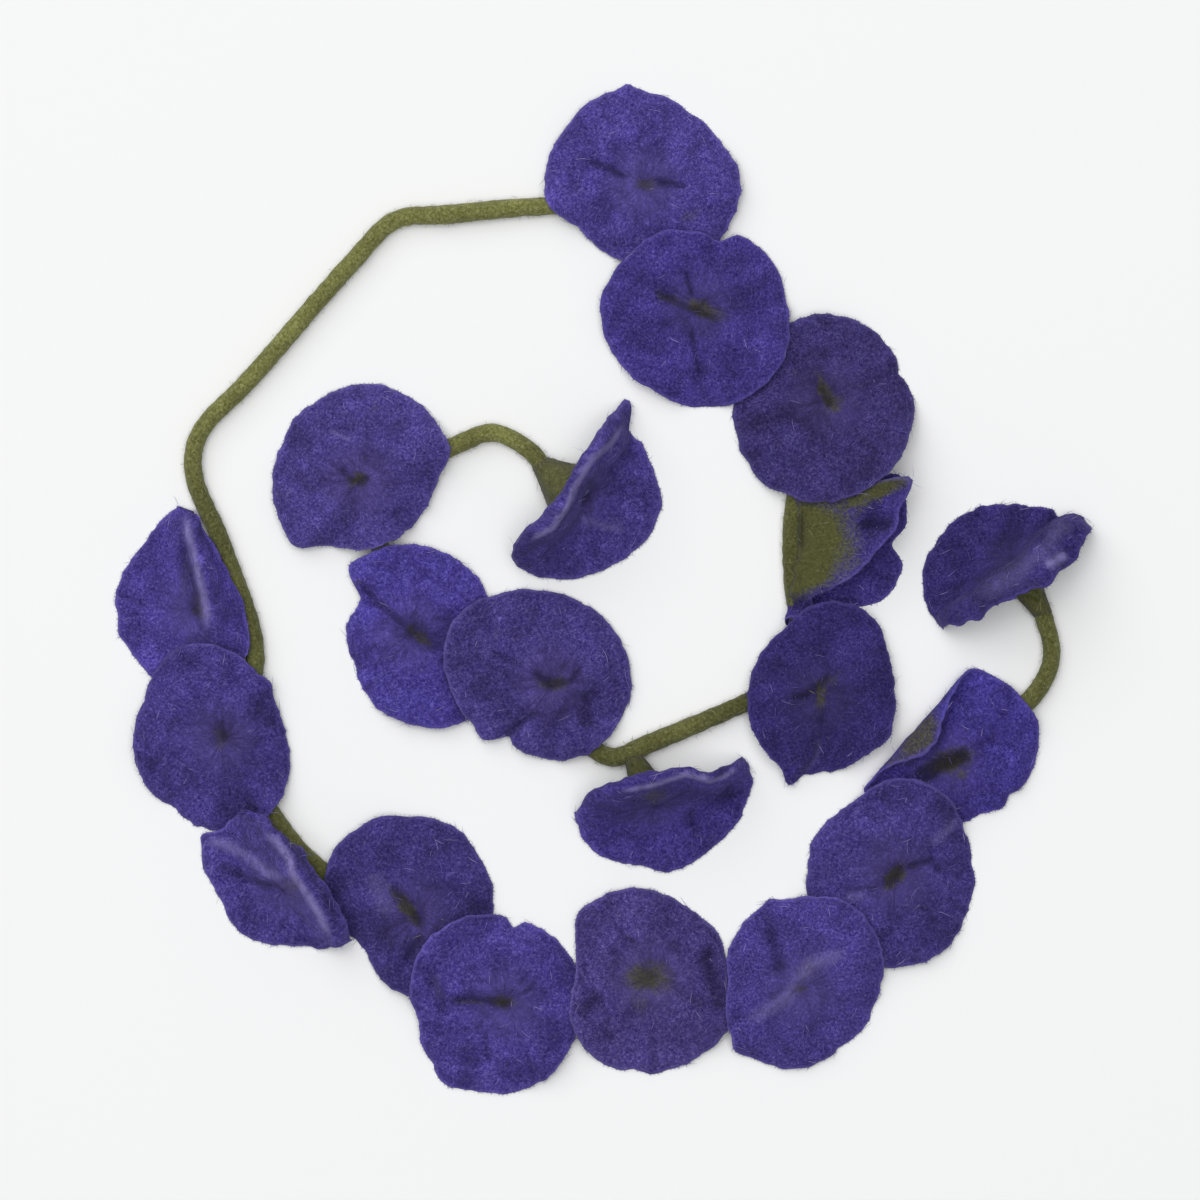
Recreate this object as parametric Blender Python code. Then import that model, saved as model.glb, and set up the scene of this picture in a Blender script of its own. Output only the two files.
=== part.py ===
"""Felt flower garland: a green felted vine lying in an open spiral, with twenty violet felt trumpet flowers.

Lengths in the tables are millimetres, and angles are degrees, counted anticlockwise from +X seen from above.
Places are read from the top view, where one step of the view's grid is GRID millimetres.
"""
import math
from collections import namedtuple

import bmesh
import bpy
from mathutils import Vector, noise
from mathutils.bvhtree import BVHTree

MM = 0.001
GRID = 0.45                     # mm for one step of the top view
CENTRE = (600.3, 590.3)         # the step of the top view that is the garland's middle

VINE_RADIUS = 4.1
VINE_UNEVEN = 0.07              # share by which the felted cord is thicker and thinner along its way
VINE_REST = 0.25                # the cord's underside above the floor
VINE_STEP = 33.0                # mm from one section of the cord to the next where it is straight
VINE_BEND = 0.6                 # radians of bend that take one more section
TOUCH = 0.35                    # gap between pieces that touch

FELT = 2.2                      # felt at the middle of a flower
FELT_RIM = 1.6                  # felt at its rim
LAY = 1.5                       # a petal over a petal or the vine keeps this clear of it
LAY_REACH = 7.0                 # how far out a petal feels what it is laid over
LAY_EASE = (1.0, 1.0, 0.8)      # how much of it, right below and half and all that far away
LIFT = 0.4                      # one step of raising a petal that still touches something
LIFT_STEPS = 30
RIM_UNEVEN = 0.9                # mm by which a rim wanders in and out
RIM_POINTS = 36
MIDDLE_POINTS = 18
PIT_RADIUS = 5.5                # the throat
FLAP_HALF = 36.0                # half the width of a half that is turned up
CALYX_MIDDLES = (0.35, 0.75)    # sections of the calyx between the flower and its stem end

PURPLE = (0.075, 0.045, 0.27, 1.0)
GREEN = (0.115, 0.125, 0.022, 1.0)

# The vine's route, from the inner end flower to the outer one, in steps of the top view
VINE_ROUTE = [
    (545, 470), (531, 452), (494, 433), (452, 447), (366, 487), (376, 530), (412, 634), (550, 692),
    (590, 746), (612, 757), (650, 743), (775, 688), (811, 664), (796, 606), (791, 552), (796, 495),
    (822, 405), (765, 345), (698, 306), (615, 209), (540, 207), (450, 215), (395, 221), (355, 260),
    (250, 380), (200, 434), (194, 472), (224, 548), (256, 652), (241, 740), (282, 828), (330, 876),
    (415, 916), (505, 1000), (800, 984), (893, 876), (938, 775), (1034, 694), (1051, 655), (1040, 606),
]

# One row for each flower
#   x, y      its throat in the top view
#   out       the way its lower half lies
#   right     how far the other half is turned up from flat at its right end: 90 stands, more flops forward
#   left      the same at its left end, seen along out
#   fold      how far behind the throat that half begins to turn up
#   turn      the radius of that bend
#   crown     height of the felt's underside round the throat
#   pit       depth of the throat
#   calyx     radius of the calyx where it leaves the flower
#   taper     how it narrows to its stem end: 1 is a cone, more is a bell
#   end       where its stem end meets the vine in the top view, where that isn't below the throat
#   rim       the felt's radius at each hour, anticlockwise from out
Flower = namedtuple("Flower", "name x y out right left fold turn crown pit calyx taper end rim")
FLOWERS = [
    Flower("flower_01", 568, 493, -35, 90, 92, -10, 8, 0, 8, 12, 0.8, (545, 470),
           (40.5, 42, 39.5, 45, 42, 38, 37, 38, 40, 40.5, 39, 38)),
    Flower("flower_02", 360, 481, 0, 0, 0, 0, 8, 14, 5, 9, 0.6, None,
           (35, 43.5, 44.5, 43.5, 40.5, 39, 39.5, 39, 34, 31.5, 31, 31.5)),
    Flower("flower_03", 410, 632, 0, 0, 0, 0, 8, 14, 5, 9, 0.6, None,
           (39.5, 38.5, 39, 39.5, 39, 27.5, 29, 29, 35.5, 41.5, 47, 43)),
    Flower("flower_04", 552, 682, 0, 0, 0, 0, 8, 14, 5, 9, 0.6, None,
           (36, 36, 38, 40.5, 46.5, 52, 47, 40, 34, 35, 36, 35.5)),
    Flower("flower_05", 652, 794, -73, 74, 76, -8, 8, 0, 7, 11, 0.7, (634, 758),
           (36, 36, 41.5, 45.5, 40, 38, 37, 36, 35, 36.5, 36.5, 33)),
    Flower("flower_06", 820, 697, 0, 0, 0, 0, 8, 14, 5, 9, 0.6, None,
           (34.5, 36.5, 43.5, 42.5, 35, 32.5, 33, 34, 35.5, 34, 34, 35.5)),
    Flower("flower_07", 801, 556, 0, 165, 165, -7, 5, 0, 0, 6, 0.8, None,
           (46, 52, 34, 27, 34, 55, 36, 28, 24, 22, 26, 39)),
    Flower("flower_08", 826, 400, 0, 0, 0, 0, 8, 14, 5, 9, 0.6, None,
           (39, 36.5, 38, 38.5, 38.5, 38, 41, 45, 47, 46.5, 43.5, 41)),
    Flower("flower_09", 699, 308, 0, 0, 0, 0, 8, 14, 5, 9, 0.6, None,
           (40, 40, 38.5, 34, 38, 40.5, 44.5, 44, 43, 45, 46, 44.5)),
    Flower("flower_10", 644, 187, 0, 0, 0, 0, 8, 14, 5, 9, 0.6, None,
           (43.5, 41, 39.5, 43, 45.5, 45, 44, 35.5, 34.5, 36, 39.5, 42)),
    Flower("flower_11", 200, 608, -170, 72, 34, -8, 9, 0, 7, 8, 0.8, None,
           (38, 37, 39.5, 41.5, 31, 34, 38, 38.5, 41.5, 46.5, 38.5, 38)),
    Flower("flower_12", 225, 739, 0, 0, 0, 0, 8, 14, 5, 9, 0.6, None,
           (29, 28.5, 32.5, 41.5, 46, 41, 41, 41, 39, 41.5, 39.5, 34)),
    Flower("flower_13", 292, 881, -138, 71, 66, -8, 8, 0, 7, 8, 0.8, (314, 857),
           (33, 30, 30, 38, 36, 34, 39, 43, 42, 39, 42, 33.5)),
    Flower("flower_14", 418, 915, 0, 0, 0, 0, 8, 14, 5, 9, 0.6, None,
           (34, 37, 42, 44.5, 48, 46.5, 38, 29, 33, 37.5, 40.5, 38)),
    Flower("flower_15", 507, 1002, 0, 0, 0, 0, 8, 14, 5, 9, 0.6, None,
           (34, 35, 36, 38.5, 43.5, 45.5, 43.5, 43, 43, 41, 38, 34.5)),
    Flower("flower_16", 650, 977, 0, 0, 0, 0, 8, 14, 5, 9, 0.6, None,
           (35, 36, 35.5, 39.5, 42.5, 37, 34, 41, 44, 43, 42, 41.5)),
    Flower("flower_17", 801, 986, 0, 0, 0, 0, 8, 14, 5, 9, 0.6, None,
           (36.5, 40.5, 43, 40.5, 39.5, 37, 33.5, 38, 38.5, 37, 33, 34)),
    Flower("flower_18", 894, 875, 0, 0, 0, 0, 8, 14, 5, 9, 0.6, None,
           (36, 37, 43, 44, 38, 39.5, 39.5, 42, 41.5, 42, 41.5, 37.5)),
    Flower("flower_19", 944, 762, -41, 163, 160, 14, 6, 13, 4, 9, 0.6, None,
           (33, 38.5, 44.5, 45, 44, 36.5, 38, 33.5, 37, 38, 34, 28.5)),
    Flower("flower_20", 1016, 566, 128, 68, 70, -8, 8, 0, 7, 11, 0.8, (1040, 606),
           (32, 37, 42.5, 44, 42, 38, 36, 36, 38, 37, 28.5, 28)),
]

# Corners and notches of the rims: at this angle the rim reaches out (or in), over this half width
Nip = namedtuple("Nip", "flower at reach half")
NIPS = [
    Nip("flower_02", 225, 5.0, 12), Nip("flower_02", 15, 2.5, 10),
    Nip("flower_03", 135, 7.0, 11), Nip("flower_03", 150, -1.5, 8),
    Nip("flower_04", 221, 2.5, 7), Nip("flower_04", 231, -4.0, 6),
    Nip("flower_06", 252, 6.0, 9), Nip("flower_08", 21, -2.5, 8),
    Nip("flower_09", 72, -5.5, 9), Nip("flower_10", 99, 2.0, 6),
    Nip("flower_10", 193, 3.0, 10), Nip("flower_12", 53, 2.0, 8),
    Nip("flower_12", 232, -2.0, 7), Nip("flower_15", 232, 3.0, 9),
    Nip("flower_15", 190, -3.0, 8), Nip("flower_16", 139, 4.5, 10),
    Nip("flower_17", 224, 3.0, 8), Nip("flower_17", 110, 1.5, 6),
    Nip("flower_01", 92, 5.0, 9), Nip("flower_20", 275, 2.5, 10),
    Nip("flower_07", 40, 12.0, 8), Nip("flower_07", 8, -7.0, 7),
]

# The main folds: a trough (or ridge) along a line from the throat, between two distances
Fold = namedtuple("Fold", "flower at start end half height")
FOLDS = [
    Fold("flower_02", 40, 8, 38, 6, -1.5), Fold("flower_02", 140, 3, 20, 4, -2.0),
    Fold("flower_02", 230, 8, 36, 6, 1.8), Fold("flower_02", 330, 6, 28, 5, -1.5),
    Fold("flower_03", 129, 2, 33, 5, -3.5), Fold("flower_03", 285, 8, 42, 6, -1.5),
    Fold("flower_03", 200, 6, 26, 6, 2.0), Fold("flower_03", 345, 4, 14, 4, -2.5),
    Fold("flower_04", 142, 6, 20, 4, -2.2), Fold("flower_04", 38, 5, 16, 4, -2.2),
    Fold("flower_04", 229, 17, 34, 4, -2.5), Fold("flower_04", 339, 10, 26, 6, -1.5),
    Fold("flower_06", 180, 2, 12, 4, -2.2), Fold("flower_06", 56, 3, 11, 4, -2.2),
    Fold("flower_06", 250, 16, 38, 4, 2.0), Fold("flower_06", 120, 10, 30, 6, -1.5),
    Fold("flower_08", 110, 1, 14, 4, -3.0), Fold("flower_08", 285, 1, 12, 4, -3.0),
    Fold("flower_08", 200, 8, 40, 6, 1.5), Fold("flower_08", 20, 10, 34, 6, -1.2),
    Fold("flower_09", 160, 2, 21, 4, -3.0), Fold("flower_09", 330, 2, 13, 4, -2.5),
    Fold("flower_09", 105, 5, 18, 4, -1.5), Fold("flower_09", 263, 8, 34, 5, -1.8),
    Fold("flower_10", 159, 8, 28, 5, -2.5), Fold("flower_10", 2, 4, 15, 4, -2.2),
    Fold("flower_10", 240, 10, 30, 7, 1.5), Fold("flower_12", 45, 8, 20, 6, -2.0),
    Fold("flower_12", 130, 8, 34, 6, 1.5), Fold("flower_12", 250, 10, 36, 6, -1.5),
    Fold("flower_14", 256, 1, 25, 4, -3.0), Fold("flower_14", 128, 1, 14, 4, -3.0),
    Fold("flower_14", 165, 20, 38, 8, -1.5), Fold("flower_15", 180, 3, 17, 4, -2.5),
    Fold("flower_15", 0, 3, 12, 4, -2.0), Fold("flower_15", 168, 22, 38, 4, 1.5),
    Fold("flower_15", 120, 8, 30, 6, 1.5), Fold("flower_16", 195, 18, 34, 6, -1.8),
    Fold("flower_16", 350, 20, 34, 6, -2.0), Fold("flower_16", 100, 8, 30, 5, 1.2),
    Fold("flower_17", 20, 6, 28, 6, -1.5), Fold("flower_17", 140, 8, 32, 6, -1.5),
    Fold("flower_17", 260, 8, 28, 6, 1.5), Fold("flower_18", 228, 2, 24, 4, -2.5),
    Fold("flower_18", 30, 4, 20, 5, -2.2), Fold("flower_18", 50, 24, 40, 4, 1.8),
    Fold("flower_18", 180, 10, 34, 6, 1.2), Fold("flower_01", 20, 12, 38, 6, 1.5),
    Fold("flower_01", 320, 12, 36, 6, 1.2), Fold("flower_05", 40, 12, 34, 5, 1.5),
    Fold("flower_05", 325, 12, 30, 5, 1.2), Fold("flower_07", 153, 30, 42, 5, 2.5),
    Fold("flower_11", 90, 10, 40, 5, 1.5),
    Fold("flower_13", 300, 8, 40, 5, 2.5), Fold("flower_19", 40, 12, 36, 6, 1.5),
    Fold("flower_20", 40, 12, 36, 6, 1.5), Fold("flower_20", 330, 12, 36, 6, 1.2),
]

# The order in which the flowers were laid down: each lies over what it meets of those before it
LAID = (11, 12, 14, 13, 15, 16, 19, 18, 17, 3, 4, 2, 5, 1, 7, 6, 8, 10, 9, 20)


def clear_scene():
    for old in list(bpy.data.objects):
        bpy.data.objects.remove(old, do_unlink=True)


def place(x, y, z=0.0):
    """A point of the top view, in millimetres of the garland."""
    return Vector(((x - CENTRE[0]) * GRID, (CENTRE[1] - y) * GRID, z))


def heading(degrees):
    angle = math.radians(degrees)
    return Vector((math.cos(angle), math.sin(angle), 0.0))


def smooth_step(low, high, value):
    t = min(max((value - low) / (high - low), 0.0), 1.0)
    return t * t * (3.0 - 2.0 * t)


def turn_between(a, b):
    """The smallest angle between two headings, in degrees."""
    return abs((a - b + 180.0) % 360.0 - 180.0)


def catmull(p0, p1, p2, p3, t):
    """A point of the smooth curve between p1 and p2."""
    return 0.5 * (2 * p1 + (p2 - p0) * t + (2 * p0 - 5 * p1 + 4 * p2 - p3) * t * t
                  + (3 * p1 - p0 - 3 * p2 + p3) * t * t * t)


def curve_between(p0, p1, p2, p3, share):
    """The same for points that are unevenly spaced: the centripetal curve, which doesn't overshoot."""
    t0 = 0.0
    t1 = t0 + (p1 - p0).length ** 0.5
    t2 = t1 + (p2 - p1).length ** 0.5
    t3 = t2 + (p3 - p2).length ** 0.5
    t = t1 + (t2 - t1) * share
    a1 = p0 * ((t1 - t) / (t1 - t0)) + p1 * ((t - t0) / (t1 - t0))
    a2 = p1 * ((t2 - t) / (t2 - t1)) + p2 * ((t - t1) / (t2 - t1))
    a3 = p2 * ((t3 - t) / (t3 - t2)) + p3 * ((t - t2) / (t3 - t2))
    b1 = a1 * ((t2 - t) / (t2 - t0)) + a2 * ((t - t0) / (t2 - t0))
    b2 = a2 * ((t3 - t) / (t3 - t1)) + a3 * ((t - t1) / (t3 - t1))
    return b1 * ((t2 - t) / (t2 - t1)) + b2 * ((t - t1) / (t2 - t1))


def material(name, colour, roughness):
    mat = bpy.data.materials.new(name)
    mat.use_nodes = True
    shader = mat.node_tree.nodes["Principled BSDF"]
    shader.inputs["Base Color"].default_value = colour
    shader.inputs["Roughness"].default_value = roughness
    shader.inputs["Metallic"].default_value = 0.0
    return mat


def vine_line():
    """Sections of the vine's middle line, closer together where it bends, with their distances along it."""
    knots = [place(x, y, VINE_RADIUS + VINE_REST) for x, y in VINE_ROUTE]
    knots = [2 * knots[0] - knots[1]] + knots + [2 * knots[-1] - knots[-2]]
    fine = []
    for i in range(1, len(knots) - 2):
        for step in range(24):
            fine.append(curve_between(*knots[i - 1:i + 3], step / 24))
    fine.append(knots[-2])
    walked = [0.0]
    effort = [0.0]
    for i in range(1, len(fine)):
        step = fine[i] - fine[i - 1]
        bend = step.angle(fine[i + 1] - fine[i]) if i + 1 < len(fine) else 0.0
        walked.append(walked[-1] + step.length)
        effort.append(effort[-1] + step.length / VINE_STEP + bend / VINE_BEND)
    count = round(effort[-1])
    line = []
    at = 0
    for k in range(count + 1):
        want = effort[-1] * k / count
        while at < len(fine) - 2 and effort[at + 1] < want:
            at += 1
        share = min((want - effort[at]) / (effort[at + 1] - effort[at]), 1.0)
        line.append((fine[at].lerp(fine[at + 1], share), walked[at] + share * (walked[at + 1] - walked[at])))
    return line


def vine_swell(distance):
    """How much thicker or thinner the vine is, at this distance along it."""
    return 1.0 + VINE_UNEVEN * noise.noise(Vector((distance / 34.0, 3.7, 1.1)))


def make_vine(home):
    line = vine_line()
    curve = bpy.data.curves.new("vine", "CURVE")
    curve.dimensions = "3D"
    curve.bevel_depth = VINE_RADIUS * MM
    curve.bevel_resolution = 2
    curve.use_fill_caps = True
    spline = curve.splines.new("POLY")
    spline.points.add(len(line) - 1)
    for k, (point, walked) in enumerate(line):
        swell = vine_swell(walked)
        height = point.z + VINE_RADIUS * (swell - 1.0)
        spline.points[k].co = (point.x * MM, point.y * MM, height * MM, 1.0)
        spline.points[k].radius = swell
    vine = bpy.data.objects.new("vine", curve)
    curve.materials.append(material("vine_felt", GREEN, 0.95))
    home.objects.link(vine)
    return vine, [point for point, walked in line]


def rim_radius(flower, local):
    """The felt's radius at an angle from the flower's own out heading."""
    hour = (local % 360.0) / 30.0
    k = int(hour)
    hours = [flower.rim[(k + i) % 12] for i in (-1, 0, 1, 2)]
    radius = catmull(*hours, hour - k)
    for nip in NIPS:
        if nip.flower == flower.name:
            away = turn_between(local, nip.at) / nip.half
            radius += nip.reach * math.exp(-away * away)
    way = heading(local) * 4.0
    return radius + RIM_UNEVEN * noise.noise(Vector((way.x, way.y, flower.x)))


def rim_rise(flower, local):
    """How high the free rim stands off the floor: a slow wave, its own for each flower."""
    if flower.crown == 0:
        return 0.0
    seed = flower.x * 0.37 + flower.y * 0.61
    angle = math.radians(local)
    wave = 2.4 * math.cos(2 * angle + seed) + 1.8 * math.cos(3 * angle + 2.3 * seed)
    return max(0.0, 1.8 + wave)


def fold_height(flower, local, radius):
    """What the flower's folds add to its height at this place."""
    height = 0.0
    for fold in FOLDS:
        if fold.flower != flower.name:
            continue
        turn = math.radians(local - fold.at)
        along = radius * math.cos(turn)
        across = radius * math.sin(turn)
        if along <= 0.0:
            continue
        ends = smooth_step(fold.start - 4, fold.start + 2, along) * (1 - smooth_step(fold.end - 4, fold.end + 5, along))
        height += fold.height * ends * math.exp(-(across / fold.half) ** 2)
    return height


def felt_point(flower, local, radius):
    """The felt's underside at a place of the flat flower, and the way its face looks there."""
    out = heading(flower.out)
    side = heading(flower.out + 90)
    angle = math.radians(local)
    along = radius * math.sin(angle)
    forward = radius * math.cos(angle)
    beyond = max(0.0, -(forward + flower.fold)) if flower.left else 0.0
    lying = math.hypot(along, forward + beyond)
    edge = rim_radius(flower, local)
    share = min(lying / edge, 1.0)
    droop = share ** 1.45
    height = flower.crown * (1 - droop) + rim_rise(flower, local) * droop
    if flower.left:
        height *= smooth_step(-flower.fold, 2, forward)
    full = math.radians(flower.right + (flower.left - flower.right) * smooth_step(-FLAP_HALF, FLAP_HALF, along))
    arc = flower.turn * full
    phi = min(beyond, arc) / flower.turn
    rest = max(0.0, beyond - arc)
    forward = forward + beyond - flower.turn * math.sin(phi) - rest * math.cos(full)
    height += flower.turn * (1 - math.cos(phi)) + rest * math.sin(full)
    face = out * math.sin(phi) + Vector((0, 0, math.cos(phi)))
    point = place(flower.x, flower.y) + out * forward + side * along + Vector((0, 0, height))
    raised = fold_height(flower, local, radius)
    on_floor = flower.crown == 0 and beyond == 0
    return point + face * (max(0.0, raised) if on_floor else raised), face


def lay_over(flower, point, face, below):
    """Raises a point so that it clears what lies under it."""
    if face.z < (0.3 if flower.left < 120 else 0.98):
        return point
    need = 0.0
    felt_out = LAY_REACH if flower.crown else LAY_REACH * 0.4
    for ring, reach in ((0, 0.0), (1, felt_out * 0.5), (2, felt_out)):
        for k in range(1 if ring == 0 else 8):
            spot = point + heading(k * 45 + ring * 22.5) * reach
            hit = below.ray_cast(Vector((spot.x, spot.y, 200.0)), Vector((0, 0, -1)))[0]
            if hit is not None:
                need = max(need, (hit.z + LAY) * LAY_EASE[ring])
    if need <= point.z:
        return point
    return Vector((point.x, point.y, need))


def laid_point(flower, local, radius, below):
    """The felt's underside where it lies, and the way its face looks; a half that is turned up rides on its foot."""
    under, look = felt_point(flower, local, radius)
    laid = lay_over(flower, under, look, below)
    along = radius * math.sin(math.radians(local))
    forward = radius * math.cos(math.radians(local))
    if flower.left and forward < -flower.fold:
        foot_local = math.degrees(math.atan2(along, -flower.fold))
        foot, foot_look = felt_point(flower, foot_local, math.hypot(along, flower.fold))
        rise = lay_over(flower, foot, foot_look, below).z - foot.z
        laid = Vector((laid.x, laid.y, max(laid.z, under.z + rise)))
    return laid, look


def face_rings(flower, below):
    """The rings of the face and of the back, from the throat to the rim, and the rim itself."""
    axis_tilt = 0.0 if flower.crown else math.radians(min(flower.left, 90) * 0.9)
    axis = heading(flower.out) * math.sin(axis_tilt) + Vector((0, 0, math.cos(axis_tilt)))
    lowest = VINE_REST + 2 * VINE_RADIUS * (1 + VINE_UNEVEN) + TOUCH + FELT_RIM if flower.crown > 10 else FELT_RIM
    face = []
    back = []
    sizes = ((4.0, None, MIDDLE_POINTS), (flower.calyx, None, MIDDLE_POINTS), (None, 0.48, RIM_POINTS),
             (None, 0.76, RIM_POINTS), (None, 1.0, RIM_POINTS))
    for radius, share, count in sizes:
        face_ring = []
        back_ring = []
        for k in range(count):
            local = 360.0 * k / count
            far = radius if share is None else share * rim_radius(flower, local)
            under, look = laid_point(flower, local, far, below)
            felt = FELT + (FELT_RIM - FELT) * min(far / rim_radius(flower, local), 1.0) ** 2
            sunk = flower.pit * math.exp(-(far / PIT_RADIUS) ** 2)
            front = under + look * felt - axis * sunk
            if look.z > 0.5:
                front.z = max(front.z, min(lowest, under.z + FELT_RIM))
            face_ring.append(front)
            back_ring.append(Vector((under.x, under.y, max(under.z, 0.0))))
        face.append(face_ring)
        back.append(back_ring)
    under, look = laid_point(flower, 0.0, 0.0, below)
    throat = under + look * FELT - axis * flower.pit
    throat.z = max(throat.z, lowest)
    return throat, face, back[1:]


def nearest_on(line, point):
    """The place of the vine's middle line that is nearest in the top view."""
    best = None
    for a, b in zip(line, line[1:]):
        step = b - a
        t = max(0.0, min(1.0, (point - a).dot(step) / step.length_squared))
        spot = a + step * t
        away = (Vector((spot.x, spot.y, 0)) - Vector((point.x, point.y, 0))).length
        if best is None or away < best[0]:
            best = (away, spot, step.normalized())
    return best[1], best[2]


def stem_end(flower, line, ring):
    """Where the calyx ends against the vine: its middle and the way it looks."""
    middle = sum(ring, Vector()) / len(ring)
    if flower.name == "flower_01":
        way = (line[0] - line[1]).normalized()
        return line[0] + way * TOUCH, -way
    if flower.name == "flower_20":
        way = (line[-1] - line[-2]).normalized()
        return line[-1] + way * TOUCH, -way
    target = middle if flower.end is None else place(*flower.end)
    spot, _ = nearest_on(line, target)
    way = (spot - middle).normalized()
    return spot - way * (VINE_RADIUS * (1 + VINE_UNEVEN / 2) + 1.2 * TOUCH), way


def calyx_rings(flower, ring, line):
    """Rings of the calyx, from the flower's back to the stem end."""
    middle = sum(ring, Vector()) / len(ring)
    end, way = stem_end(flower, line, ring)
    shortest = VINE_RADIUS * 0.95
    rings = []
    for share in CALYX_MIDDLES + (1.0,):
        centre = middle.lerp(end, share)
        shrink = share ** flower.taper
        section = []
        for point in ring:
            spoke = point - middle
            flat = (spoke - way * spoke.dot(way)).normalized() * shortest
            spot = centre + spoke * (1 - shrink) + flat * shrink
            section.append(Vector((spot.x, spot.y, max(spot.z, 0.0))))
        rings.append(section)
    return rings


def bridge(mesh, inner, outer):
    """Faces between two rings of points, where the outer has as many points as the inner or twice as many."""
    n = len(inner)
    if len(outer) == n:
        for k in range(n):
            mesh.faces.new((inner[k], outer[k], outer[(k + 1) % n], inner[(k + 1) % n]))
        return
    for k in range(n):
        a, b = inner[k], inner[(k + 1) % n]
        first, mid, last = outer[2 * k], outer[2 * k + 1], outer[(2 * k + 2) % (2 * n)]
        mesh.faces.new((a, first, mid))
        mesh.faces.new((a, mid, b))
        mesh.faces.new((b, mid, last))


def bridge_back(mesh, inner, outer):
    """The same, for the back, where the faces look the other way."""
    before = set(mesh.faces)
    bridge(mesh, inner, outer)
    bmesh.ops.reverse_faces(mesh, faces=[f for f in mesh.faces if f not in before])


def lift_clear(mesh, below, partner):
    """Raises, a little at a time, the corners of every face that touches what lies under it.

    partner gives the corner on the other side of the felt, which rises with it.
    """
    for step in range(LIFT_STEPS):
        faces = [[v.index for v in face.verts] for face in mesh.faces]
        touched = set()
        for drop in (0.0, -LIFT):
            points = [v.co + Vector((0, 0, drop)) for v in mesh.verts]
            for mine, _ in BVHTree.FromPolygons(points, faces).overlap(below):
                touched.update(faces[mine])
        if not touched:
            return
        touched.update([partner[index] for index in touched if index in partner])
        mesh.verts.ensure_lookup_table()
        for index in touched:
            mesh.verts[index].co.z += LIFT


def make_flower(flower, line, below, felt, home):
    throat, face, back = face_rings(flower, below)
    calyx = calyx_rings(flower, back[0], line)
    mesh = bmesh.new()
    middle = mesh.verts.new(throat)
    face_verts = [[mesh.verts.new(p) for p in ring] for ring in face]
    back_verts = [[mesh.verts.new(p) for p in ring] for ring in back]
    calyx_verts = [[mesh.verts.new(p) for p in ring] for ring in calyx]
    first = face_verts[0]
    for k, vert in enumerate(first):
        mesh.faces.new((middle, vert, first[(k + 1) % len(first)]))
    for inner, outer in zip(face_verts, face_verts[1:]):
        bridge(mesh, inner, outer)
    bridge(mesh, face_verts[-1], back_verts[-1])
    for inner, outer in zip(back_verts, back_verts[1:]):
        bridge_back(mesh, inner, outer)
    rings = [back_verts[0]] + calyx_verts
    for wide, narrow in zip(rings, rings[1:]):
        bridge(mesh, wide, narrow)
    mesh.faces.new(calyx_verts[-1])
    bmesh.ops.recalc_face_normals(mesh, faces=mesh.faces)
    bmesh.ops.triangulate(mesh, faces=mesh.faces)
    mesh.verts.index_update()
    partner = {}
    for front_ring, back_ring in zip(face_verts[1:], back_verts):
        for front, behind in zip(front_ring, back_ring):
            partner[front.index] = behind.index
            partner[behind.index] = front.index
    lift_clear(mesh, below, partner)
    bmesh.ops.scale(mesh, vec=(MM, MM, MM), verts=mesh.verts)
    data = bpy.data.meshes.new(flower.name)
    mesh.to_mesh(data)
    mesh.free()
    data.materials.append(felt)
    data.shade_smooth()
    obj = bpy.data.objects.new(flower.name, data)
    home.objects.link(obj)
    return obj


def solid_points(obj):
    """The points and faces of an object as it is built, in millimetres."""
    graph = bpy.context.evaluated_depsgraph_get()
    built = obj.evaluated_get(graph)
    data = built.to_mesh()
    points = [v.co / MM for v in data.vertices]
    faces = [tuple(p.vertices) for p in data.polygons]
    built.to_mesh_clear()
    return points, faces


def main():
    clear_scene()
    home = bpy.data.collections.new("felt_flower_garland")
    bpy.context.scene.collection.children.link(home)
    vine, line = make_vine(home)
    points, faces = solid_points(vine)
    by_number = {int(flower.name[-2:]): flower for flower in FLOWERS}
    for number in LAID:
        flower = by_number[number]
        below = BVHTree.FromPolygons(points, faces)
        felt = material(flower.name + "_felt", PURPLE, 0.95)
        made = make_flower(flower, line, below, felt, home)
        more, more_faces = solid_points(made)
        shift = len(points)
        points = points + more
        faces = faces + [tuple(i + shift for i in face) for face in more_faces]


main()
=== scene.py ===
"""Looks of the felt flower garland: a green felted vine in an open spiral with twenty violet flowers.

The vine's route and the flowers' rows are those of the part's source, but for some calyxes. Lengths are
millimetres, and angles are degrees, counted anticlockwise from +X seen from above. Places are read from
the top view, where one step of the view's grid is GRID millimetres. In tables such as NIPS the number
before each row is the flower's.
"""
import math
import random
from collections import namedtuple

import bpy
import numpy as np
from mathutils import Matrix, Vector, noise

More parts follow.
